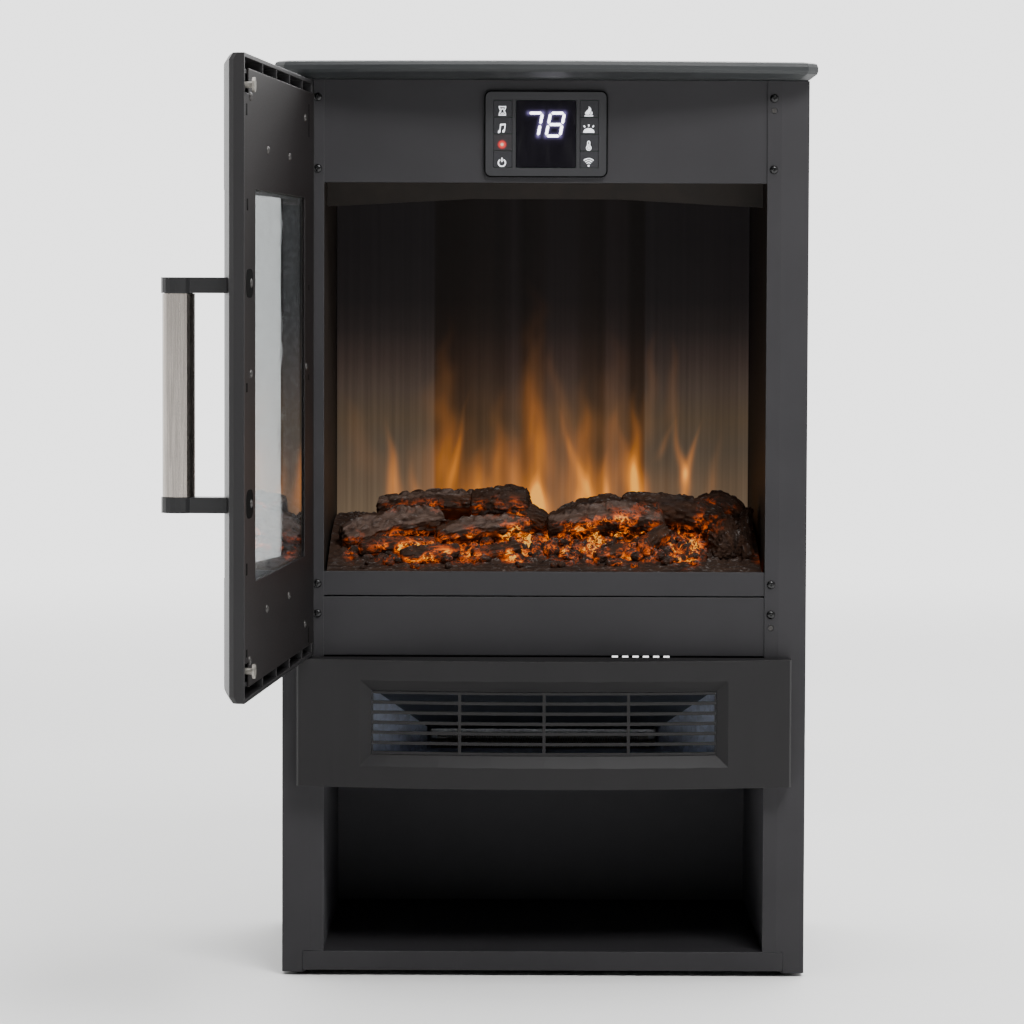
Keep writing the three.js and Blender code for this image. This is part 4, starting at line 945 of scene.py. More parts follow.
def lathe(bm: Shape, outline: Sequence[tuple[float, float]], matrix: Matrix, steps: int = 32) -> None:
    """Turns an outline of radius and height about Z and sets it in place.

    Args:
        bm: the shape to add to.
        outline: radius and height in mm of each point.
        matrix: the place.
        steps: sides of the round.
    """
    old_verts, old_faces = set(bm.verts), set(bm.faces)
    ring = [bm.verts.new((r * MM, 0, z * MM)) for r, z in outline]
    edges = [bm.edges.new(pair) for pair in zip(ring, ring[1:])]
    bmesh.ops.spin(
        bm,
        geom=ring + edges,
        cent=(0, 0, 0),
        axis=(0, 0, 1),
        angle=math.tau,
        steps=steps,
        use_merge=True,
    )
    turned = [vert for vert in bm.verts if vert not in old_verts]
    bmesh.ops.remove_doubles(bm, verts=turned, dist=1e-7)
    bmesh.ops.recalc_face_normals(bm, faces=[face for face in bm.faces if face not in old_faces])
    move(bm, matrix, [vert for vert in bm.verts if vert not in old_verts])


def block(bm: Shape, size: tuple[float, float, float], matrix: Matrix) -> list[bmesh.types.BMVert]:
    """Adds a box.

    Args:
        bm: the shape to add to.
        size: its three sides in mm.
        matrix: the place of its middle.

    Returns:
        Its corners.
    """
    made = bmesh.ops.create_cube(bm, size=1.0)["verts"]
    bmesh.ops.scale(bm, vec=mm(*size), verts=made)
    move(bm, matrix, made)
    return made


def face_front(bm: Shape) -> None:
    """Turns every face of a flat sheet towards the front.

    Args:
        bm: the sheet.
    """
    bmesh.ops.recalc_face_normals(bm, faces=bm.faces)
    for face in bm.faces:
        if face.normal.y > 0:
            face.normal_flip()


def fired_layers(bm: Shape) -> list[bmesh.types.BMLayerItem]:
    """Adds what the fired finishes read from a shape's corners: relief, heat and run.

    Args:
        bm: the shape.

    Returns:
        The three layers, in that order.
    """
    layers = bm.verts.layers
    numbers = [layers.float.new(name) for name in ("relief", "ember_heat")]
    return [*numbers, layers.float_vector.new("along")]


class Facing(Enum):
    """The way a small fitting's top looks: a turn from +Z."""

    FRONT = Matrix.Rotation(math.radians(90), 4, "X")
    BACK = Matrix.Rotation(math.radians(-90), 4, "X")
    DOWN = Matrix.Rotation(math.radians(180), 4, "X")
    LEFT = Matrix.Rotation(math.radians(-90), 4, "Y")
    RIGHT = Matrix.Rotation(math.radians(90), 4, "Y")


@dataclass(frozen=True)
class Screw:
    """A pan or dome head with a cross recess."""

    radius: float = 3.7
    height: float = 2.0
    recess: float = 1.1
    steps: int = 32
    dome: tuple[tuple[float, float], ...] = ((0.98, 0.28), (0.86, 0.62), (0.68, 0.88), (0.5, 1.0))
    cross_core: float = 0.16
    cross_arm: float = 0.28

    def add(self, bm: Shape, matrix: Matrix) -> None:
        """Adds one head, its seat at the matrix's origin and its top along +Z.

        Args:
            bm: the shape to add to.
            matrix: the place and way.
        """
        made = bmesh.ops.create_circle(bm, cap_ends=True, segments=self.steps, radius=self.radius * MM)
        verts = made["verts"]
        face = verts[0].link_faces[0]
        reach = 1.0
        for share, rise in self.dome:
            ring = bmesh.ops.extrude_discrete_faces(bm, faces=[face])["faces"]
            face = ring[0]
            verts += list(face.verts)
            bmesh.ops.scale(bm, vec=(share / reach, share / reach, 1), verts=face.verts)
            low = sum(vert.co.z for vert in face.verts) / len(face.verts)
            bmesh.ops.translate(bm, vec=(0, 0, rise * self.height * MM - low), verts=face.verts)
            reach = share
        for depth, squeeze in ((0.0, 1.0), (self.recess, 0.55)):
            face = bmesh.ops.extrude_discrete_faces(bm, faces=[face])["faces"][0]
            verts += list(face.verts)
            for vert in face.verts:
                way = math.atan2(vert.co.y, vert.co.x)
                lobe = abs(math.cos(2 * way)) ** 6
                size = (self.cross_core + self.cross_arm * lobe) * self.radius * MM * squeeze
                vert.co.x, vert.co.y = size * math.cos(way), size * math.sin(way)
                vert.co.z -= depth * MM
        move(bm, matrix, verts)


@dataclass
class Stencil:
    """A flat symbol drawn with lines, areas and discs on XY in millimetres, then raised a little."""

    bm: Shape = field(default_factory=bmesh.new)

    def area(self, points: Sequence[tuple[float, float]]) -> None:
        """Adds a filled outline."""
        self.bm.faces.new([self.bm.verts.new((x * MM, y * MM, 0)) for x, y in points])

    def disc(self, x: float, y: float, radius: float, steps: int = 16) -> None:
        """Adds a filled circle."""
        bmesh.ops.create_circle(
            self.bm, cap_ends=True, segments=steps, radius=radius * MM, matrix=at(x, y, 0)
        )

    def line(self, points: Sequence[tuple[float, float]], width: float, closed: bool = False) -> None:
        """Adds a line of one width with mitred corners.

        Args:
            points: its middle line.
            width: its width in mm.
            closed: whether it runs back to its start.
        """
        count = len(points)
        edges = []
        for i, (x, y) in enumerate(points):
            before = points[(i - 1) % count] if closed or i else None
            after = points[(i + 1) % count] if closed or i < count - 1 else None
            ways = []
            if before:
                ways.append(Vector((x - before[0], y - before[1])).normalized())
            if after:
                ways.append(Vector((after[0] - x, after[1] - y)).normalized())
            mean = sum(ways, Vector((0, 0))).normalized()
            side = Vector((-mean.y, mean.x)) * (width / 2 / max(mean.dot(ways[0]), 0.4))
            edges.append(
                [self.bm.verts.new(((x + s * side.x) * MM, (y + s * side.y) * MM, 0)) for s in (1, -1)]
            )
        pairs = list(zip(edges, edges[1:])) + ([(edges[-1], edges[0])] if closed else [])
        for (a, b), (c, d) in pairs:
            self.bm.faces.new((a, b, d, c))

    def arc(self, x: float, y: float, radius: float, start: float, end: float, width: float) -> None:
        """Adds a line along an arc, in degrees from +X.

        Args:
            x: the arc's middle across, in mm.
            y: the arc's middle up, in mm.
            radius: its radius in mm.
            start: where it starts, in degrees.
            end: where it ends, in degrees.
            width: the line's width in mm.
        """
        steps = max(4, int(abs(end - start) / 12))
        ways = [math.radians(start + (end - start) * i / steps) for i in range(steps + 1)]
        self.line([(x + radius * math.cos(a), y + radius * math.sin(a)) for a in ways], width)

    def raised(self, height: float, matrix: Matrix) -> Shape:
        """Closes the drawing into thin raised shapes and sets it in place.

        Args:
            height: how far it stands up, in mm.
            matrix: the place.

        Returns:
            The shape.
        """
        for face in self.bm.faces:
            face.normal_update()
            if face.normal.z < 0:
                face.normal_flip()
        raise_from(self.bm, list(self.bm.faces), height)
        move(self.bm, matrix)
        return self.bm


# --------------------------------------------------------------------------- control panel


@dataclass
class DisplayWindow:
    """The smoked window with its two lit seven-segment digits and the bloom round them."""

    left: float = -25.3
    right: float = 25.3
    low: float = 698.5
    high: float = 755.6
    face: float = -161.85
    slant: float = 0.2
    digit_height: float = 22.0
    digit_width: float = 14.4
    stroke: float = 2.5
    gap: float = 0.55
    baseline: float = 724.2
    starts: tuple[float, float] = (-20.3, -1.5)
    shown: tuple[str, str] = ("abc", "abcdefg")
    bloom_grid: tuple[int, int] = (96, 108)
    halo: float = 0.66
    halo_reach: float = 1.7
    haze: float = 0.05
    haze_reach: float = 4.5

    def segments(self) -> list[tuple[tuple[float, float], tuple[float, float]]]:
        """The middle line of each lit segment, as two (x, z) ends.

        Returns:
            A pair of ends per segment.
        """
        wide = self.digit_width - self.stroke
        tall = self.digit_height - self.stroke
        corners = {
            "a": ((0, 1), (1, 1)),
            "b": ((1, 1), (1, 0.5)),
            "c": ((1, 0.5), (1, 0)),
            "d": ((0, 0), (1, 0)),
            "e": ((0, 0.5), (0, 0)),
            "f": ((0, 1), (0, 0.5)),
            "g": ((0, 0.5), (1, 0.5)),
        }
        lit = []
        for start, letters in zip(self.starts, self.shown):
            for letter in letters:
                ends = []
                for across, up in corners[letter]:
                    rise = self.stroke / 2 + up * tall
                    x = start + self.stroke / 2 + across * wide + self.slant * rise
                    ends.append((x, self.baseline + rise))
                lit.append((ends[0], ends[1]))
        return lit

    def build(self) -> list[Piece]:
        """Builds the lit segments and the window's bloom.

        Returns:
            The pieces.
        """
        stencil = Stencil()
        half = self.stroke / 2
        for (x0, z0), (x1, z1) in self.segments():
            run = Vector((x1 - x0, z1 - z0))
            way = run.normalized()
            side = Vector((-way.y, way.x)) * half * 0.92
            taper = way * (half * 0.95)
            a, b = Vector((x0, z0)) + way * self.gap, Vector((x1, z1)) - way * self.gap
            outline = [a, a + taper + side, b - taper + side, b, b - taper - side, a + taper - side]
            stencil.area([tuple(point) for point in outline])
        digits = stencil.raised(0.08, at(0, self.face - 0.06, 0) @ Facing.FRONT.value)
        pieces = [finished("display_digits", digits, Look.SEGMENT, slot="gloss_black")]
        pieces.append(self.bloom())
        return pieces

    def bloom(self) -> Piece:
        """A thin clear layer on the window that carries the bloom.

        Returns:
            The piece.
        """
        bm = bmesh.new()
        columns, rows = self.bloom_grid
        bmesh.ops.create_grid(bm, x_segments=columns, y_segments=rows, size=0.5)
        layer = bm.verts.layers.float.new("bloom")
        lit = [(Vector(a), Vector(b)) for a, b in self.segments()]
        for vert in bm.verts:
            x = self.left + (vert.co.x + 0.5) * (self.right - self.left)
            z = self.low + (vert.co.y + 0.5) * (self.high - self.low)
            point = Vector((x, z))
            near = far = 0.0
            for a, b in lit:
                along = min(max((point - a).dot(b - a) / (b - a).length_squared, 0), 1)
                away = max((point - a.lerp(b, along)).length - 1.0, 0)
                near = max(near, math.exp(-away / self.halo_reach))
                far += self.haze * math.exp(-((away / self.haze_reach) ** 2))
            vert[layer] = min(self.halo * near + far, 1.0)
            vert.co = mm(x, self.face, z)
        face_front(bm)
        return finished("display_bloom_film", bm, Look.WINDOW, slot="gloss_black")


@dataclass
class PodShadowGap:
    """A thin black line round the pod's edge: painted shadow for the gap against the control fascia."""

    half_x: float = 52.9
    half_z: float = 37.05
    corner: float = 5.9
    middle: float = 727.05
    foot: float = -161.5
    height: float = 0.9
    width: float = 1.15

    def build(self) -> Piece:
        """Builds the painted shadow as one closed line along the pod's outline.

        Returns:
            The piece.
        """
        path = []
        reach = self.corner - self.width / 2
        for turn, (side_x, side_z) in enumerate(((1, 1), (-1, 1), (-1, -1), (1, -1))):
            for step in range(7):
                way = math.radians(90 * turn + 15 * step)
                x = side_x * (self.half_x - self.corner) + reach * math.cos(way)
                path.append((x, side_z * (self.half_z - self.corner) + reach * math.sin(way)))
        drawing = Stencil()
        drawing.line(path, self.width, closed=True)
        bm = drawing.raised(self.height, at(0, self.foot, self.middle) @ Facing.FRONT.value)
        return finished("pod_shadow_gap_line", bm, Look.SHADOW_GAP, slot="foot_rubber", sharp=50)


@dataclass
class KeySymbols:
    """The lit symbols printed on the keys."""

    face: float = -162.5
    height: float = 0.07
    share: float = 0.9

    def build(self) -> list[Piece]:
        """Builds one raised print per key.

        Returns:
            The pieces.
        """
        drawings: list[tuple[str, str, float, float, Callable[[Stencil], None]]] = [
            ("symbol_timer", "key_timer_body", -37.4, 746.7, self.hourglass),
            ("symbol_sound", "key_sound_body", -37.7, 731.6, self.notes),
            ("symbol_power", "key_power_body", -37.7, 702.8, self.power),
            ("symbol_flame", "key_flame_body", 36.6, 746.7, self.flame),
            ("symbol_light", "key_light_body", 36.6, 731.4, self.sun),
            ("symbol_temperature", "key_temperature_body", 36.6, 717.5, self.thermometer),
            ("symbol_remote", "key_remote_body", 36.6, 703.0, self.waves),
        ]
        pieces = []
        for name, body, x, z, draw in drawings:
            stencil = Stencil()
            draw(stencil)
            bmesh.ops.scale(stencil.bm, vec=(self.share, self.share, 1), verts=stencil.bm.verts)
            shape = stencil.raised(self.height, at(x, self.face, z) @ Facing.FRONT.value)
            pieces.append(finished(name, shape, Look.SYMBOL, body, "gloss_black"))
        return pieces

    def hourglass(self, s: Stencil) -> None:
        """A glass between two caps, with a zigzag of sand.

        Args:
            s: the drawing to add to.
        """
        left = [(-3.0, 4.0), (-2.7, 1.9), (-1.5, 0), (-2.7, -1.9), (-3.0, -4.0)]
        s.line(left + [(-x, z) for x, z in reversed(left)], 0.95, closed=True)
        s.line([(-1.7, 2.2), (-0.6, 1.2), (0.5, 2.2), (1.6, 1.2)], 0.7)
        s.line([(-1.6, -1.9), (-0.5, -2.8), (0.6, -1.9), (1.7, -2.8)], 0.7)

    def notes(self, s: Stencil) -> None:
        """Two beamed notes, leaning.

        Args:
            s: the drawing to add to.
        """
        s.line([(-1.5, 3.6), (3.3, 4.0)], 1.5)
        s.line([(-1.3, 3.9), (-2.1, -2.6)], 0.95)
        s.line([(3.1, 4.1), (2.3, -1.6)], 0.95)
        ways = [math.tau * i / 14 for i in range(14)]
        for x, y in ((-2.7, -2.9), (1.5, -2.3)):
            s.area([(x + 1.15 * math.cos(a) + 0.3 * math.sin(a), y + 1.5 * math.sin(a)) for a in ways])

    def power(self, s: Stencil) -> None:
        """A broken ring with an upright stroke."""
        s.arc(0, -0.5, 3.35, 118, 422, 1.15)
        s.line([(0, 0.4), (0, 4.3)], 1.05)

    def flame(self, s: Stencil) -> None:
        """A leaning flame over a line.

        Args:
            s: the drawing to add to.
        """
        left = [(-3.2, -3.2), (-3.6, -1.6), (-2.2, 0.2), (-0.6, 1.6), (0.0, 3.2), (-0.3, 4.6)]
        s.area(left + [(1.8, 2.8), (2.2, 0.9), (1.7, -0.6), (0.4, -3.3)])
        s.area([(1.0, -3.3), (2.2, -1.2), (2.6, 0.1), (3.4, -1.0), (3.5, -2.3), (2.9, -3.3)])
        s.line([(-4.0, -4.5), (4.0, -4.5)], 0.9)

    def sun(self, s: Stencil) -> None:
        """Half a sun over the horizon with three rays.

        Args:
            s: the drawing to add to.
        """
        ways = [math.pi * i / 16 for i in range(17)]
        s.area([(5.2 * math.cos(a), -3.4 + 4.3 * math.sin(a) ** 0.9) for a in ways])
        for ray in ([(0, 2.5), (0, 4.3)], [(-4.8, 3.3), (-3.6, 1.8)], [(4.8, 3.3), (3.6, 1.8)]):
            s.line(ray, 1.3)

    def thermometer(self, s: Stencil) -> None:
        """A bulb thermometer in outline with its column filled.

        Args:
            s: the drawing to add to.
        """
        s.arc(0, -2.4, 2.2, 118, 422, 0.8)
        for x in (-1.05, 1.05):
            s.line([(x, -0.6), (x, 2.9)], 0.75)
        s.arc(0, 2.9, 1.05, 0, 180, 0.75)
        s.disc(0, -2.4, 1.15)
        s.line([(0, -2.0), (0, 1.2)], 0.6)

    def waves(self, s: Stencil) -> None:
        """Three arcs fanning out from a dot."""
        s.disc(0, -3.2, 0.95)
        for radius, width in ((2.9, 0.8), (4.9, 0.8), (6.9, 0.9)):
            s.arc(0, -3.3, radius, 48, 132, width)


# --------------------------------------------------------------------------- the fire


@dataclass(frozen=True)
class Pocket:
    """A hot place among the logs: middle and half sizes across and up, in mm, and how hot it is."""

    x: float
    z: float
    half_x: float
    half_z: float
    power: float

    def heat(self, x: float, z: float) -> float:
        """How hot the pocket makes a place."""
        away = math.hypot((x - self.x) / self.half_x, (z - self.z) / self.half_z)
        return self.power * (1 - smooth_step(away, 0.55, 1.6))


@dataclass(frozen=True)
class Hearth:
    """The ember bed's form and where it glows, shared by the bed, the logs and the loose coals."""

    half: float = 188.0
    front: float = -151.3
    back: float = 92.0
    rail: float = 351.0
    deck: float = 337.6
    mound: float = 37.0
    hollow: float = 5.0
    pockets: tuple[Pocket, ...] = (
        Pocket(-112, 402, 32, 6, 0.8),
        Pocket(-166, 372, 8, 14, 0.6),
        Pocket(-116, 367, 30, 16, 0.95),
        Pocket(-74, 371, 24, 14, 1.0),
        Pocket(-23, 377, 15, 20, 1.5),
        Pocket(24, 373, 28, 14, 1.05),
        Pocket(66, 376, 32, 24, 1.15),
        Pocket(124, 370, 15, 14, 1.3),
        Pocket(146, 389, 13, 9, 0.85),
        Pocket(152, 403, 18, 9, 0.6),
        Pocket(84, 400, 22, 7, 0.7),
        Pocket(-38, 402, 30, 9, 0.62),
        Pocket(186, 364, 5, 4, 0.5),
    )

    def heat(self, x: float, z: float) -> float:
        """How hot the fire is at a place across and up, in mm."""
        return min(max(pocket.heat(x, z) for pocket in self.pockets) + 0.06, 1.5)

    def height(self, x: float, y: float) -> float:
        """The smooth height of the bed at a place, in mm.

        Args:
            x: the place across, in mm.
            y: the place in depth, in mm.

        Returns:
            The height in mm.
        """
        back = min(max((y - self.front) / (self.back - self.front), 0), 1)
        mound = self.mound * math.sin(min(back * 1.25, 1) * 0.5 * math.pi)
        return self.rail + mound - self.hollow * math.cos(x / self.half * 0.5 * math.pi) * back


HEARTH = Hearth()


def cracked(point: Vector, scale: float) -> float:
    """A crazed surface: 0 in the cracks and 1 on the plates between them.

    Args:
        point: place in mm.
        scale: size of a plate in mm.

    Returns:
        The height from 0 to 1.
    """
    near = noise.voronoi(point / scale, distance_metric="DISTANCE", exponent=2.5)[0]
    return smooth_step(near[1] - near[0], 0.02, 0.3)


def fibrous(point: Vector, length: float, width: float) -> float:
    """Bark fibres that run along X, from 0 to 1."""
    stretched = Vector((point.x / length, point.y / width, point.z / width))
    return 0.5 + 0.5 * noise.fractal(stretched, 0.9, 2.1, 4)


@dataclass(frozen=True)
class FireLog:
    """One cast log: a bent, uneven round with split faces, barked relief and broken ends.

    Its splits are given by their angle in degrees and their distance as a share of the radius, its
    fibres by their length and width in mm, its bark's plates and its splits' checks by their size. A
    log named after a node of the frame, with _cast behind it, stands for that node.
    """

    name: str
    start: tuple[float, float, float]
    end: tuple[float, float, float]
    radius: float
    splits: tuple[tuple[float, float], ...] = ()
    bend: float = 0.0
    taper: float = 0.12
    heat: float = 1.0
    grid: tuple[int, int] = (84, 104)
    cap: float = 0.12
    bark: tuple[float, float] = (15.0, 2.6)
    plate: float = 5.0
    split_fibre: tuple[float, float] = (22.0, 3.4)
    check: float = 11.0
    relief_share: float = 0.34

    def build(self, seed: float) -> Piece:
        """Builds the log from a wrapped grid and records its relief, heat and run as attributes.

        Args:
            seed: what makes its noise differ from the other logs'.

        Returns:
            The log.
        """
        bm = bmesh.new()
        bmesh.ops.create_grid(bm, x_segments=self.grid[0], y_segments=self.grid[1], size=0.5)
        relief_layer, heat_layer, along_layer = fired_layers(bm)
        bare_layer = bm.verts.layers.float.new("bare_wood")
        start, end = Vector(self.start), Vector(self.end)
        run = end - start
        length, forward = run.length, run.normalized()
        side = forward.cross(Vector((0, 0, 1))).normalized()
        up = side.cross(forward)
        offset = Vector((37.1 * seed, 11.7 * seed, 53.3 * seed))
        for vert in bm.verts:
            angle, way = (vert.co.x + 0.5) * math.tau, vert.co.y + 0.5
            edge = min(way, 1 - way) / self.cap
            share = min(edge, 1.0)
            t = min(max((way - self.cap) / (1 - 2 * self.cap), 0.0), 1.0)
            c, s = math.cos(angle), math.sin(angle)
            local = Vector((t * length, c * self.radius, s * self.radius))
            lump = noise.noise((local + offset) / (self.radius * 1.6)) * 0.16
            lump += noise.noise((local + offset) / (self.radius * 0.7)) * 0.07
            reach = self.radius * (1 - self.taper * abs(2 * t - 1) ** 2.5) * (1 + lump)
            relief = 0.25 + 0.75 * fibrous(local + offset, *self.bark)
            plates = cracked(Vector((local.x / 3.0, local.y, local.z)) + offset, self.plate)
            relief = min(max(relief * (0.35 + 0.65 * plates), 0), 1)
            smooth = 0.0
            for split_angle, split_share in self.splits:
                toward = math.cos(angle - math.radians(split_angle))
                limit = self.radius * split_share * (1 + 0.06 * noise.noise(local / 14 + offset))
                if toward > 0 and reach * toward > limit:
                    reach = limit / toward
                    smooth = 1.0
            if smooth:
                relief = 0.62 + 0.14 * fibrous(local + offset, *self.split_fibre)
                relief *= 0.25 + 0.75 * cracked(local + offset, self.check)
            reach += self.radius * self.relief_share * (relief - 0.6)
            middle = start + forward * (t * length)
            middle += up * (self.bend * math.sin(math.pi * t)) + side * (2.5 * math.sin(4.1 * t + seed))
            if share < 1.0:
                outward = -1 if way < 0.5 else 1
                broken = noise.fractal((local * share + offset) / 5.0, 0.8, 2.0, 4)
                bulge = self.radius * (0.14 * (1 - share**2) + 0.1 * broken * (1 - share**6))
                middle += forward * (outward * bulge)
                rings = 0.5 + 0.5 * math.sin(share * self.radius * 2.3 + 1.5 * broken)
                relief = 0.35 + 0.35 * rings + 0.3 * broken
                reach *= share**0.9
            point = middle + side * (c * reach) + up * (s * reach)
            vert[relief_layer] = min(max(relief, 0.0), 1.0)
            vert[bare_layer] = smooth
            vert[along_layer] = (local + offset) * MM
            under = 1 - 0.55 * smooth_step((side * c + up * s).z, -0.1, 0.75)
            vert[heat_layer] = HEARTH.heat(point.x, point.z) * self.heat * under
            vert.co = point * MM
        bmesh.ops.remove_doubles(bm, verts=bm.verts, dist=2e-5)
        bmesh.ops.recalc_face_normals(bm, faces=bm.faces)
        node = self.name.removesuffix("_cast")
        replaced = (node,) if node != self.name else ()
        return finished(self.name, bm, Look.LOG, slot="log_resin", replaces=replaced, sharp=180)


@dataclass
class EmberBed:
    """The bed the logs lie on: an ash apron at the front that rises into heaped, glowing coals."""

    columns: int = 230
    rows: int = 130
    coal: float = 12.0
    crumb: float = 4.5
    apron: tuple[float, float] = (10.0, 42.0)
    rim_side: float = 14.0
    rim_back: float = 16.0
    top: float = 398.0
    large: tuple[tuple[float, float, float], ...] = (
        (7, -104, 12.0),
        (30, -101, 11.0),
        (-52, -126, 6.5),
        (52, -118, 9.0),
        (76, -112, 8.0),
    )
    small_count: int = 120

    def build(self) -> list[Piece]:
        """Builds the bed with its skirt, and the loose coals on it.

        Returns:
            The pieces.
        """
        bm = bmesh.new()
        bmesh.ops.create_grid(bm, x_segments=self.columns, y_segments=self.rows, size=0.5)
        relief_layer, heat_layer, along_layer = fired_layers(bm)
        for vert in bm.verts:
            x = 2 * vert.co.x * HEARTH.half
            y = HEARTH.front + (vert.co.y + 0.5) * (HEARTH.back - HEARTH.front)
            point = Vector((x, y, 0))
            near = noise.voronoi(point / self.coal, distance_metric="DISTANCE", exponent=2.5)[0]
            dome = math.sqrt(max(0.0, 1 - (near[0] / 0.75) ** 2))
            gap = smooth_step(near[1] - near[0], 0.0, 0.35)
            crumbs = noise.fractal(point / self.crumb, 0.8, 2.0, 4)
            ash = smooth_step(y, HEARTH.front + self.apron[0], HEARTH.front + self.apron[1])
            inner = smooth_step(HEARTH.half - abs(x), 0, self.rim_side)
            inner *= smooth_step(HEARTH.back - y, 0, self.rim_back)
            calm = 0.2 + 0.8 * inner
            relief = min(max(0.25 + 0.5 * dome * gap + 0.3 * crumbs, 0), 1)
            lumps = ash * (5.5 * dome * gap - 2.0) + (1.1 + 1.4 * ash) * crumbs
            z = HEARTH.height(x, y) + calm * lumps - 0.8
            vert[relief_layer] = relief if ash > 0.4 else 0.55 + 0.4 * crumbs
            vert[along_layer] = Vector((x, y, z)) * MM
            vert[heat_layer] = HEARTH.heat(x, z + 4) * (0.25 + 0.75 * ash)
            vert.co = mm(x, y, min(z, self.top))
        rim = [edge for edge in bm.edges if edge.is_boundary]
        skirt = bmesh.ops.extrude_edge_only(bm, edges=rim)["geom"]
        feet = [item for item in skirt if isinstance(item, bmesh.types.BMVert)]
        for foot in feet:
            foot.co.z = HEARTH.deck * MM
        bmesh.ops.holes_fill(bm, edges=[edge for edge in bm.edges if edge.is_boundary], sides=0)
        bmesh.ops.recalc_face_normals(bm, faces=bm.faces)
        bed = finished(
            "ember_bed_cast", bm, Look.EMBER, slot="ember_resin", replaces=("ember_bed",), sharp=60
        )
        return [bed, self.coals()]

    def coals(self) -> Piece:
        """Loose lumps of coal and chips of char, larger and hotter towards the middle.

        Returns:
            The piece.
        """
        chance = random.Random(7)
        bm = bmesh.new()
        relief_layer, heat_layer, along_layer = fired_layers(bm)
        lumps = list(self.large)
        for _ in range(self.small_count):
            x = chance.uniform(-176, 176)
            y = chance.triangular(-146, -50, -118)
            lumps.append((x, y, chance.uniform(2.0, 6.5)))
        for x, y, radius in lumps:
            fineness = 3 if radius > 6 else 2
            made = bmesh.ops.create_icosphere(bm, subdivisions=fineness, radius=1.0)["verts"]
            spin = Matrix.Rotation(chance.uniform(0, math.tau), 3, "Z")
            flat = Vector((1.0, chance.uniform(0.6, 1.0), chance.uniform(0.55, 0.9)))
            seat = Vector((x, y, HEARTH.height(x, y) + radius * 0.25))
            for vert in made:
                way = vert.co.copy()
                facet = cracked(way * radius + seat, radius * 0.9)
                rough = noise.fractal(way * 1.6 + seat, 0.8, 2.0, 3)
                size = radius * (0.86 + 0.14 * facet + 0.16 * rough)
                point = seat + spin @ Vector((way.x * flat.x, way.y * flat.y, way.z * flat.z)) * size
                vert[relief_layer] = min(max(0.45 + 0.35 * facet + 0.35 * rough, 0), 1)
                vert[along_layer] = (way * radius + seat) * MM
                vert[heat_layer] = HEARTH.heat(point.x, point.z) * (1.0 - 0.6 * smooth_step(way.z, 0.0, 0.9))
                vert.co = point * MM
        return finished("loose_coals", bm, Look.EMBER, slot="ember_resin", sharp=180)


@dataclass
class LogPile:
    """The logs, from the long pair at the back to the small billets at the front."""

    logs: tuple[FireLog, ...] = (
        FireLog(
            "log_left_rear_cast", (-146, -22, 395), (-62, -30, 402), 15,
            splits=((300, 0.62), (75, 0.8)), bend=3, taper=0.1, heat=0.9,
        ),
        FireLog(
            "log_right_rear_cast", (70, -34, 400), (158, -44, 388), 15.5,
            splits=((250, 0.6),), bend=3, taper=0.2, heat=0.8,
        ),
        FireLog(
            "log_left_front_cast", (-176, -84, 374), (-92, -52, 390), 15,
            splits=((285, 0.7), (38, 0.74)), bend=3, taper=0.15, heat=0.9,
        ),
        FireLog(
            "log_right_front_cast", (148, -40, 384), (168, -112, 366), 17,
            bend=3, taper=0.1, heat=1.0,
        ),
        FireLog(
            "log_centre_cast", (-92, -84, 376), (-14, -58, 385), 12,
            splits=((300, 0.6), (48, 0.78)), bend=3, taper=0.25, heat=1.1,
        ),
        FireLog(
            "log_left_rear_block", (-63, -32, 400), (-14, -36, 402), 16.5,
            splits=((280, 0.66),), bend=2, taper=0.05, heat=1.0,
        ),
        FireLog(
            "log_left_rear_butt", (-26, -34, 394), (2, -38, 386), 12,
            bend=1, taper=0.2, heat=0.7,
        ),
        FireLog(
            "log_right_mid_split", (6, -52, 384), (104, -66, 388), 15,
            splits=((255, 0.62), (40, 0.76)), bend=6, taper=0.2, heat=1.1,
        ),
        FireLog(
            "log_right_rear_low", (14, -30, 388), (78, -30, 397), 14,
            splits=((270, 0.8),), bend=3, taper=0.2, heat=0.8,
        ),
        FireLog(
            "log_right_stump", (136, -30, 400), (178, -36, 392), 15,
            splits=((265, 0.6),), bend=4, taper=0.3, heat=0.9,
        ),
        FireLog(
            "log_left_billet", (-160, -112, 368), (-96, -100, 371), 8.5,
            splits=((280, 0.7),), bend=1, taper=0.2, heat=1.3, grid=(64, 80),
        ),
        FireLog(
            "log_left_billet_low", (-124, -128, 361), (-74, -116, 366), 8.5,
            bend=1, taper=0.2, heat=1.2, grid=(64, 80),
        ),
        FireLog(
            "log_centre_billet", (-62, -120, 362), (-20, -104, 368), 8.5,
            splits=((300, 0.7),), bend=0, taper=0.3, heat=1.2, grid=(56, 64),
        ),
        FireLog(
            "log_right_billet", (44, -124, 361), (74, -110, 367), 8,
            splits=((290, 0.7),), bend=0, taper=0.3, heat=1.1, grid=(56, 64),
        ),
        FireLog(
            "log_right_lean", (176, -122, 362), (182, -40, 398), 6.5,
            bend=2, taper=0.3, heat=0.6, grid=(56, 80),
        ),
        FireLog(
            "log_right_chunk", (86, -116, 365), (104, -84, 382), 9,
            splits=((250, 0.6),), bend=0, taper=0.2, heat=1.0, grid=(56, 64),
        ),
    )

    def build(self) -> list[Piece]:
        """Builds every log, each with its own seed."""
        return [log.build(seed) for seed, log in enumerate(self.logs, 1)]


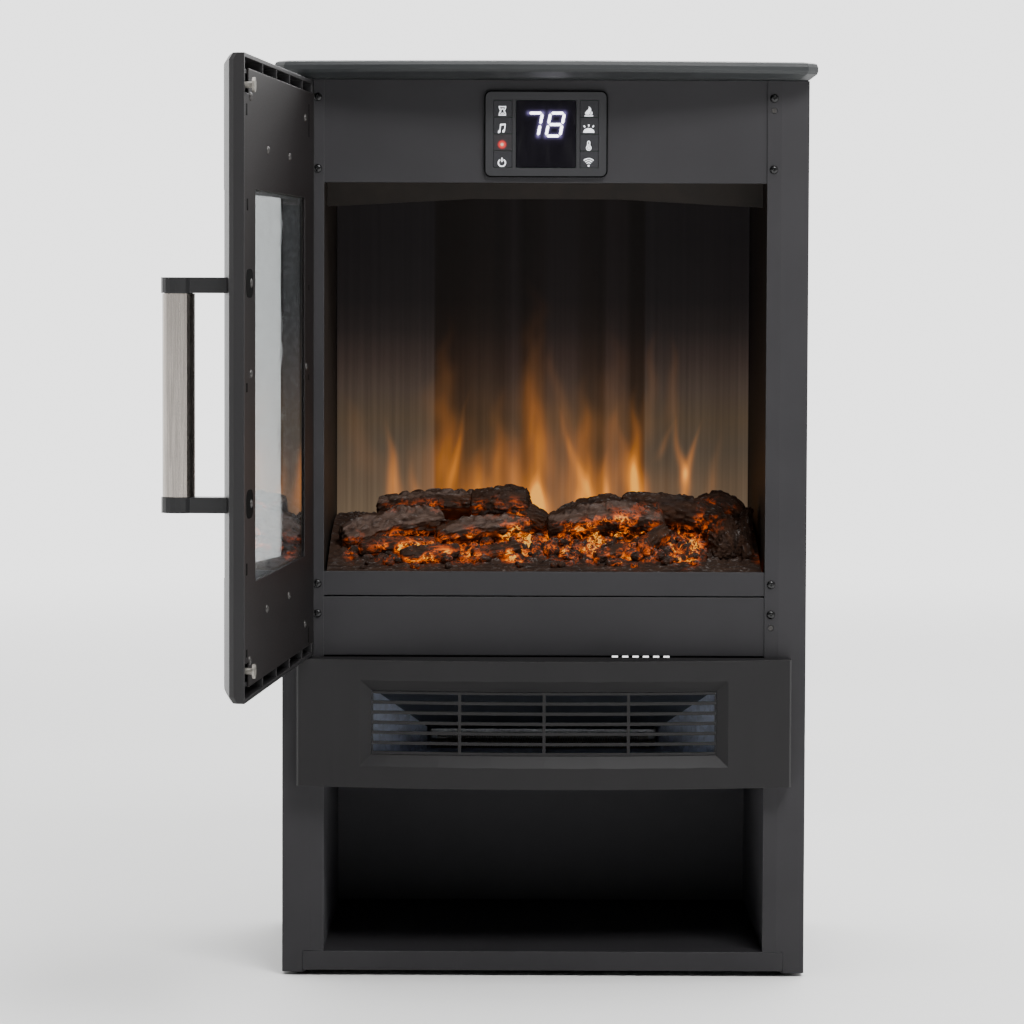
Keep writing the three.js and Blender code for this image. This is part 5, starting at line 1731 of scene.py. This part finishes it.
@dataclass(frozen=True)
class Tongue:
    """One tongue of flame on the screen: foot, tip, half width and lean in mm, and its brightness."""

    x: float
    foot: float
    tip: float
    width: float
    lean: float
    power: float

    def light(self, x: float, z: float) -> float:
        """How bright the tongue is at a place on the screen.

        Args:
            x: the place across, in mm.
            z: the place up, in mm.

        Returns:
            The brightness, from 0 to its power.
        """
        rise = (z - self.foot) / (self.tip - self.foot)
        if rise < -0.45 or rise > 1.15:
            return 0.0
        waver = 0.35 * self.width * math.sin(z / 9.0 + self.x)
        middle = self.x + self.lean * rise + waver * max(rise, 0)
        width = self.width * (1.05 - 0.75 * min(max(rise, 0), 1))
        body = math.exp(-(((x - middle) / width) ** 2))
        fade = smooth_step(rise, -0.45, 0.05) * (1 - smooth_step(rise, 0.15, 1.1))
        return self.power * body * fade


@dataclass
class FlameScreen:
    """The lit film on the front of the flame screen."""

    half: float = 189.5
    low: float = 339.0
    high: float = 698.5
    face: float = 93.7
    flame_top: float = 625.0
    columns: int = 250
    rows: int = 220
    tongues: tuple[Tongue, ...] = (
        Tongue(-135.9, 400, 474, 6.5, -7, 0.7),
        Tongue(-116.6, 398, 440, 7, -6, 0.3),
        Tongue(-165, 440, 500, 14, -18, 0.1),
        Tongue(-88, 396, 530, 26, -8, 0.28),
        Tongue(-86, 408, 500, 4.2, 18, 0.4),
        Tongue(-62, 396, 452, 14, 6, 0.34),
        Tongue(-42, 396, 500, 13, 3, 0.34),
        Tongue(-23, 398, 476, 8, -6, 0.28),
        Tongue(-9.6, 404, 566, 14, 4, 0.26),
        Tongue(-2, 440, 545, 9, -13, 0.14),
        Tongue(-4, 386, 428, 9.5, 1, 0.95),
        Tongue(42, 406, 486, 6, -30, 0.4),
        Tongue(37, 400, 512, 15, 2, 0.42),
        Tongue(22, 470, 545, 8, -16, 0.12),
        Tongue(35, 386, 416, 8, 0, 0.4),
        Tongue(58, 396, 452, 5, 2, 0.4),
        Tongue(66, 410, 512, 11, 5, 0.16),
        Tongue(88.4, 394, 500, 8, -5, 0.72),
        Tongue(88, 390, 446, 13, 0, 0.4),
        Tongue(78, 420, 496, 6, -12, 0.22),
        Tongue(96, 470, 560, 7, 7, 0.12),
        Tongue(110, 446, 476, 4, 14, 0.2),
        Tongue(131, 392, 446, 4.5, 0, 0.6),
        Tongue(131, 426, 486, 3.8, -12, 0.34),
        Tongue(132, 426, 474, 3.8, 15, 0.46),
        Tongue(119, 484, 552, 6, 0, 0.12),
        Tongue(152, 398, 470, 6, 14, 0.16),
        Tongue(6, 376, 505, 115, 0, 0.22),
        Tongue(-92, 430, 566, 10, 4, 0.14),
        Tongue(-6, 450, 600, 16, -3, 0.09),
        Tongue(62, 440, 560, 18, 6, 0.09),
    )

    def build(self) -> Piece:
        """Builds the film with the flames' brightness as an attribute.

        Returns:
            The piece.
        """
        bm = bmesh.new()
        bmesh.ops.create_grid(bm, x_segments=self.columns, y_segments=self.rows, size=0.5)
        layer = bm.verts.layers.float.new("flame_light")
        for vert in bm.verts:
            x = 2 * vert.co.x * self.half
            z = self.low + (vert.co.y + 0.5) * (self.high - self.low)
            total = 0.0
            if z < self.flame_top:
                drift = 3.0 * noise.noise(Vector((x / 22, 0, z / 40)))
                streaks = 0.9 + 0.35 * noise.fractal(Vector((x / 11, 3.0, z / 60)), 0.9, 2.0, 2)
                total = sum(tongue.light(x + drift, z) for tongue in self.tongues) * streaks
            vert[layer] = min(max(total, 0.0), 1.0)
            vert.co = mm(x, self.face, z)
        face_front(bm)
        return finished("flame_film", bm, Look.FILM, slot="flame_screen")


# --------------------------------------------------------------------------- heater


@dataclass
class HeatingCoils:
    """Two rows of coiled wire on mica strips across the blower's slot, with bright terminals."""

    half: float = 84.0
    depth: float = -86.5
    rows: tuple[float, ...] = (193.6, 199.4)
    coil_radius: float = 2.3
    wire_radius: float = 0.42
    pitch: float = 2.2
    steps: int = 12
    overhang: float = 30.0
    supports: int = 13
    support_size: tuple[float, float, float] = (0.8, 5.4, 5.4)
    terminal: tuple[tuple[float, float], ...] = ((0, 0), (1.5, 0), (1.5, 6), (2.4, 6), (2.4, 8), (0, 8.4))

    def build(self) -> list[Piece]:
        """Builds the coils, the mica strips and the terminals."""
        return [self.coils(), self.mica(), self.terminals()]

    def coils(self) -> Piece:
        """The wound wire, a coil per row.

        Returns:
            The piece.
        """
        bm = bmesh.new()
        turns = int(2 * self.half / self.pitch)
        half_turn = Matrix.Rotation(math.radians(180), 4, "X")
        for z in self.rows:
            place = at(-self.half, self.depth, z + self.coil_radius) @ half_turn
            made = bmesh.ops.create_circle(bm, segments=5, radius=self.wire_radius * MM, matrix=place)
            ring = made["verts"]
            edges = list({edge for vert in ring for edge in vert.link_edges})
            bmesh.ops.spin(
                bm,
                geom=ring + edges,
                cent=mm(-self.half, self.depth, z),
                axis=(1, 0, 0),
                dvec=mm(self.pitch / self.steps, 0, 0),
                angle=math.tau * turns,
                steps=self.steps * turns,
                use_duplicate=False,
            )
        bmesh.ops.recalc_face_normals(bm, faces=bm.faces)
        return finished(
            "heating_coils", bm, Look.WIRE, slot="bright_steel", replaces=("heating_element",)
        )

    def mica(self) -> Piece:
        """The strips under and over each coil, and the supports that it runs through.

        Returns:
            The piece.
        """
        bm = bmesh.new()
        for z in self.rows:
            for low, high, thick in ((z - 2.9, z - 2.5, 5.0), (z + 2.4, z + 2.7, 4.0)):
                size = (2 * self.half + self.overhang, thick, high - low)
                block(bm, size, at(0, self.depth, (low + high) / 2))
            for i in range(self.supports):
                x = -self.half + i * 2 * self.half / (self.supports - 1)
                block(bm, self.support_size, at(x, self.depth + 0.4, z))
        return finished("mica_strips", bm, Look.MICA, slot="bright_steel", sharp=30)

    def terminals(self) -> Piece:
        """The turned ends of each coil.

        Returns:
            The piece.
        """
        bm = bmesh.new()
        for z in self.rows:
            for side, facing in ((-1, Facing.LEFT), (1, Facing.RIGHT)):
                lathe(bm, self.terminal, at(side * (self.half + 1), self.depth, z) @ facing.value, 16)
        return finished("element_terminals", bm, Look.STRIKE, slot="bright_steel")


# --------------------------------------------------------------------------- fasteners


def screw_group(
    name: str,
    screw: Screw,
    places: Iterable[Matrix],
    look: Look = Look.SCREW_BLACK,
    body: str = "cabinet",
    slot: str = "bright_steel",
) -> Piece:
    """One piece with a screw head at each place.

    Args:
        name: the piece's name.
        screw: the head.
        places: each head's place and way.
        look: the finish.
        body: the body it rides on.
        slot: the record's material slot.

    Returns:
        The piece.
    """
    bm = bmesh.new()
    for place in places:
        screw.add(bm, place)
    return finished(name, bm, look, body, slot, sharp=50)


@dataclass
class DoorFittings:
    """What sits on the door's back: plate screws, painted shade for the plate's slots and bracket recesses,
    and the glass's gasket.
    """

    rest_turn: float = -94.3
    pivot: tuple[float, float] = (-205.0, -173.3)
    plate: float = -167.2
    gasket_foot: float = -175.2
    window: tuple[float, float, float, float] = (-151.5, 368.3, 151.5, 670.6)
    gasket_width: float = 0.9
    gasket_depth: float = 14.0
    recess_size: tuple[float, float] = (36.0, 22.0)
    recess_height: float = 0.3
    slot_shade_depth: float = 1.0
    slot_shade_edge: float = 0.25
    recesses: tuple[tuple[float, float], ...] = ((184, 598), (184, 430))
    screws: tuple[tuple[float, float], ...] = (
        (-150, 737),
        (-150, 311),
        (-49, 701),
        (-45, 343),
        (82, 702),
        (88, 342.5),
        (180, 739.5),
        (186, 310.5),
        (178, 529),
        (-158, 528.5),
        (178, 598),
        (178, 430),
    )
    slot_shades: tuple[tuple[float, float, float, float], ...] = (
        (200, 729, 6, 9),
        (196, 657.5, 6, 9),
        (199, 519, 6, 7),
        (200, 381, 6, 9),
        (200, 317, 5, 6),
        (-176, 736, 2.4, 28),
        (-176, 300, 2.4, 14),
        (-176, 595, 3, 5),
        (-176, 519, 3, 5),
    )

    @property
    def on_open_door(self) -> Matrix:
        """The matrix from a place on the shut door to that place at rest, with the door open."""
        hinge = at(*self.pivot, 0)
        return hinge @ Matrix.Rotation(math.radians(self.rest_turn), 4, "Z") @ hinge.inverted()

    def build(self) -> list[Piece]:
        """Builds the fittings."""
        return [self.plate_screws(), self.plate_slot_shades(), self.bracket_recesses(), self.gasket()]

    def plate_screws(self) -> Piece:
        """The dome screws that hold the plate and the handle's brackets.

        Returns:
            The piece.
        """
        turn, dome = self.on_open_door, Screw(3.4, 1.7, 0.8, 24)
        places = [turn @ at(x, self.plate, z) @ Facing.BACK.value for x, z in self.screws]
        return screw_group("door_plate_screws", dome, places, Look.SCREW_ZINC, "door", "plated_steel")

    def plate_slot_shades(self) -> Piece:
        """Black, nearly glossless blocks on the plate where it has slots: painted shade of the slots.

        Returns:
            The piece.
        """
        bm = bmesh.new()
        for x, z, wide, tall in self.slot_shades:
            made = block(bm, (wide, self.slot_shade_depth, tall), Matrix())
            grown = bmesh.ops.bevel(
                bm,
                geom=list({edge for vert in made for edge in vert.link_edges}),
                offset=self.slot_shade_edge * MM,
                affect="EDGES",
                segments=2,
                profile=0.5,
                material=-1,
            )
            shape = {vert for face in grown["faces"] for vert in face.verts}
            move(bm, self.on_open_door @ at(x, self.plate - 0.2, z), shape)
        return finished("door_plate_slot_shades", bm, Look.SLOT_SHADE, "door", "black_moulding", sharp=30)

    def bracket_recesses(self) -> Piece:
        """Oval black pads round the handle brackets' screws: painted shade of the bracket recesses.

        Returns:
            The piece.
        """
        # painted shade: the pads stand for the dark inside the bracket recesses
        drawing = Stencil()
        ways = [math.tau * i / 32 for i in range(32)]
        for x, z in self.recesses:
            oval = []
            for c, s in ((math.cos(way), math.sin(way)) for way in ways):
                across = self.recess_size[0] / 2 * math.copysign(abs(c) ** 0.6, c)
                oval.append((x + across, -z + self.recess_size[1] / 2 * math.copysign(abs(s) ** 0.6, s)))
            drawing.area(oval)
        place = self.on_open_door @ at(0, self.plate, 0) @ Facing.BACK.value
        bm = drawing.raised(self.recess_height, place)
        return finished("handle_bracket_recesses", bm, Look.SLOT_SHADE, "door", "black_moulding", sharp=30)

    def gasket(self) -> Piece:
        """The grey foam strip round the window, between the glass and the shell.

        Returns:
            The piece.
        """
        inset = self.gasket_width / 2 + 0.1
        left, low = (edge + inset for edge in self.window[:2])
        right, high = (edge - inset for edge in self.window[2:])
        drawing = Stencil()
        corners = [(left, low), (right, low), (right, high), (left, high)]
        drawing.line(corners, self.gasket_width, closed=True)
        foot = self.on_open_door @ at(0, self.gasket_foot, 0)
        bm = drawing.raised(self.gasket_depth, foot @ Facing.FRONT.value)
        return finished("window_gasket", bm, Look.GASKET, "door", "foot_rubber", sharp=30)


@dataclass
class Fasteners:
    """The screw heads that show on the pilasters, at the rear and underneath."""

    front: float = -160.0
    rear: float = 160.0
    under: float = 5.0

    def build(self) -> list[Piece]:
        """Builds the screws in groups by what they hold.

        Returns:
            The pieces.
        """
        small = Screw(3.4, 1.6, 0.8, 20)
        pilaster = [(x, z) for x in (-195.5, 195.5) for z in (758.2, 697.2, 340.5, 314.6)]
        rear = [(x, z) for x in (-214, -70, 70, 214) for z in (18, 766)]
        rear += [(x, z) for x in (-214, 214) for z in (150, 300, 460, 620)]
        base = [(x, y) for x in (-150, 0, 150) for y in (-120, 120)]
        groups = (
            ("pilaster_screws", Screw(), [at(x, self.front, z) @ Facing.FRONT.value for x, z in pilaster]),
            ("rear_cover_screws", small, [at(x, self.rear, z) @ Facing.BACK.value for x, z in rear]),
            ("base_screws", small, [at(x, y, self.under) @ Facing.DOWN.value for x, y in base]),
        )
        return [screw_group(*group) for group in groups]


# --------------------------------------------------------------------------- dressing the frame


@dataclass
class FrameDressing:
    """The finish of each node of the frame that stays in view."""

    looks: dict[Look, tuple[str, ...]] = field(
        default_factory=lambda: {
            Look.TOP: ("top_plate",),
            Look.CABINET: (
                "side_panel_left",
                "side_panel_right",
                "base_pan",
                "niche_floor",
                "lower_front_panel",
                "lower_rail",
                "control_fascia",
                "rear_cover",
                "hinge_bracket_lower",
                "hinge_bracket_upper",
            ),
            Look.BACK_PLATE: ("door_back_plate",),
            Look.INSIDE: ("niche_liner", "heater_deck", "fire_deck"),
            Look.FIREBOX: ("firebox_liner", "fire_hood"),
            Look.DUCT: ("outlet_duct", "blower_housing"),
            Look.BARE: ("blower_wheel", "rotor_motor"),
            Look.SCREW_ZINC: ("magnet_lower", "magnet_upper"),
            Look.WINDING: ("blower_motor",),
            Look.HANDLE: ("handle_tube",),
            Look.STRIKE: ("strike_lower", "strike_upper"),
            Look.VANES: ("flame_rotor",),
            Look.FASCIA: ("heater_fascia", "outlet_grille"),
            Look.DOOR: ("door_shell",),
            Look.BRACKET: ("handle_bracket_lower", "handle_bracket_upper"),
            Look.BUSH: ("rotor_bush", "cord_inlet"),
            Look.POD: ("display_pod",),
            Look.KEY: (
                "key_timer",
                "key_sound",
                "key_power",
                "key_flame",
                "key_light",
                "key_temperature",
                "key_remote",
            ),
            Look.WINDOW: ("display_lens",),
            Look.LAMP: ("indicator_lens",),
            Look.FOOT: ("foot_front_left", "foot_front_right", "foot_rear_left", "foot_rear_right"),
            Look.BOARD: ("control_board", "lamp_strip"),
            Look.GLASS: ("door_glass",),
            Look.SCREEN: ("flame_screen",),
            Look.LOG: ("log_left_rear", "log_right_rear", "log_left_front", "log_right_front", "log_centre"),
            Look.EMBER: ("ember_bed",),
            Look.WIRE: ("heating_element",),
        }
    )

    def apply(self, nodes: dict[str, Piece]) -> None:
        """Gives every node its finish.

        Args:
            nodes: the frame's objects by name.
        """
        for look, names in self.looks.items():
            for name in names:
                mesh = nodes[name].data
                mesh.materials.clear()
                mesh.materials.append(look.material)
        bare = set(nodes) - {name for names in self.looks.values() for name in names}
        if bare:
            raise ValueError(f"no finish for {sorted(bare)}")


# --------------------------------------------------------------------------- studio


@dataclass(frozen=True)
class StudioWall(Finish):
    """Seamless white paper, rolled out as the floor: matt, with a barely visible tooth, and lit from
    under where it runs far away, so that it meets the bright wall of light without a line."""

    near: float = 1.0
    far: float = 5.0
    strength: float = 2.6

    def dress(self, tree: Tree, shader: Node) -> None:
        """Adds the paper's tooth and its light far from the stove.

        Args:
            tree: the material's tree.
            shader: its principled shader.
        """
        cloud = grain(tree, 400, 2, contrast=(0.3, 0.7))
        place = add_node(tree, "NewGeometry").outputs["Position"]
        away = add_node(tree, "VectorMath", {"operation": "LENGTH"}, {0: place}).outputs["Value"]
        lit = remap(tree, away, self.near, self.far, smooth=True)
        paper = blend_colour(tree, cloud, linear(self.colour), shade(self.colour, 1.03))
        tint(tree, shader, blend_colour(tree, lit, paper, linear("000000")))
        shader.inputs["Emission Color"].default_value = linear("ffffff")
        tree.links.new(product(tree, lit, self.strength), shader.inputs["Emission Strength"])


@dataclass
class Studio:
    """A pale floor, soft lights and a long lens that looks slightly down on the stove.

    The eye is in mm, its pitch and roll in degrees; the floor's radius and the sight are in metres.
    """

    eye: tuple[float, float, float] = (-28.0, -3660.0, 593.5)
    pitch: float = 3.12
    roll: float = 0.2
    focal: float = 143.1
    floor_radius: float = 40.0
    sight: float = 100.0
    dim: float = 0.1
    bright: float = 2.6
    paper: StudioWall = StudioWall("studio_paper", "f6f6f5", 0.85, specular=0.0)

    def build(self) -> None:
        """Builds the floor, the camera and the lights."""
        self.floor()
        self.camera()
        self.world()
        self.soft_box("key_light", (900, -2200, 2700), (0, -100, 420), (1400, 900), 92)
        self.soft_box("fill_light", (2500, -1500, 1500), (0, -100, 450), (1400, 1600), 3)
        self.soft_box("top_light", (0, -500, 2700), (0, -100, 500), (1900, 1300), 40)
        self.soft_box("back_light", (600, 2600, 2200), (0, 100, 400), (2000, 1400), 60)

    def floor(self) -> None:
        """A large pale disc under the stove."""
        bm = bmesh.new()
        bmesh.ops.create_circle(bm, cap_ends=True, segments=96, radius=self.floor_radius)
        mesh = bpy.data.meshes.new("studio_floor")
        bm.to_mesh(mesh)
        bm.free()
        mesh.materials.append(self.paper.material())
        disc = bpy.data.objects.new("studio_floor", mesh)
        bpy.context.scene.collection.objects.link(disc)
        disc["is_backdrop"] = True

    def camera(self) -> None:
        """The long lens at the photographed angle."""
        lens = bpy.data.cameras.new("studio_camera")
        lens.lens = self.focal
        lens.sensor_width = 36.0
        lens.clip_end = self.sight
        eye = bpy.data.objects.new("studio_camera", lens)
        level = Matrix.Rotation(math.radians(90 - self.pitch), 4, "X")
        turn = level @ Matrix.Rotation(math.radians(self.roll), 4, "Z")
        eye.matrix_world = at(*self.eye) @ turn
        bpy.context.scene.collection.objects.link(eye)
        bpy.context.scene.camera = eye

    def world(self) -> None:
        """White light from behind the stove, dimming towards the camera's side of the room."""
        world = bpy.data.worlds.new("studio_light")
        world.use_nodes = True
        tree = world.node_tree
        tree.nodes.clear()
        way = add_node(tree, "SeparateXYZ", inputs={0: add_node(tree, "TexCoord").outputs["Generated"]})
        level = remap(tree, way.outputs[1], -0.3, 0.7, (self.dim, self.bright), smooth=True)
        light = add_node(tree, "Background", inputs={"Color": linear("ffffff"), "Strength": level})
        add_node(tree, "OutputWorld", inputs={"Surface": light.outputs[0]})
        bpy.context.scene.world = world

    def soft_box(
        self,
        name: str,
        place: tuple[float, float, float],
        aim: tuple[float, float, float],
        size: tuple[float, float],
        power: float,
    ) -> None:
        """One rectangular soft light.

        Args:
            name: its name.
            place: where it hangs, in mm.
            aim: what it faces, in mm.
            size: its width and height in mm.
            power: its power in watts.
        """
        light = bpy.data.lights.new(name, "AREA")
        light.shape = "RECTANGLE"
        light.size, light.size_y = size[0] * MM, size[1] * MM
        light.energy = power
        lamp = bpy.data.objects.new(name, light)
        lamp.location = mm(*place)
        lamp.rotation_euler = (mm(*aim) - mm(*place)).to_track_quat("-Z", "Y").to_euler()
        bpy.context.scene.collection.objects.link(lamp)


def write_sizes(first: object, last: object) -> None:
    """Turns the frame's box and the finished part's box into lists of numbers, and does not keep them.

    Args:
        first: the bounds straight after loading.
        last: the bounds when all is built.
    """
    boxes = [[[float(value) for value in corner] for corner in box] for box in (first, last)]


def main() -> None:
    """Loads the frame, dresses it and builds every piece in order."""
    logging.basicConfig(level=logging.INFO, format="%(name)s: %(message)s")
    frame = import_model()
    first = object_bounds()
    Studio().build()
    FrameDressing().apply(frame["nodes"])
    LOG.info("dressed %d nodes", len(frame["nodes"]))
    stages: list[tuple[str, Callable[[], object]]] = [
        ("display window", DisplayWindow().build),
        ("pod shadow gap", PodShadowGap().build),
        ("key symbols", KeySymbols().build),
        ("ember bed", EmberBed().build),
        ("logs", LogPile().build),
        ("flames", FlameScreen().build),
        ("heating coils", HeatingCoils().build),
        ("door fittings", DoorFittings().build),
        ("fasteners", Fasteners().build),
    ]
    for label, build in stages:
        build()
        LOG.info("built the %s", label)
    write_sizes(first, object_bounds())


if __name__ == "__main__":
    main()
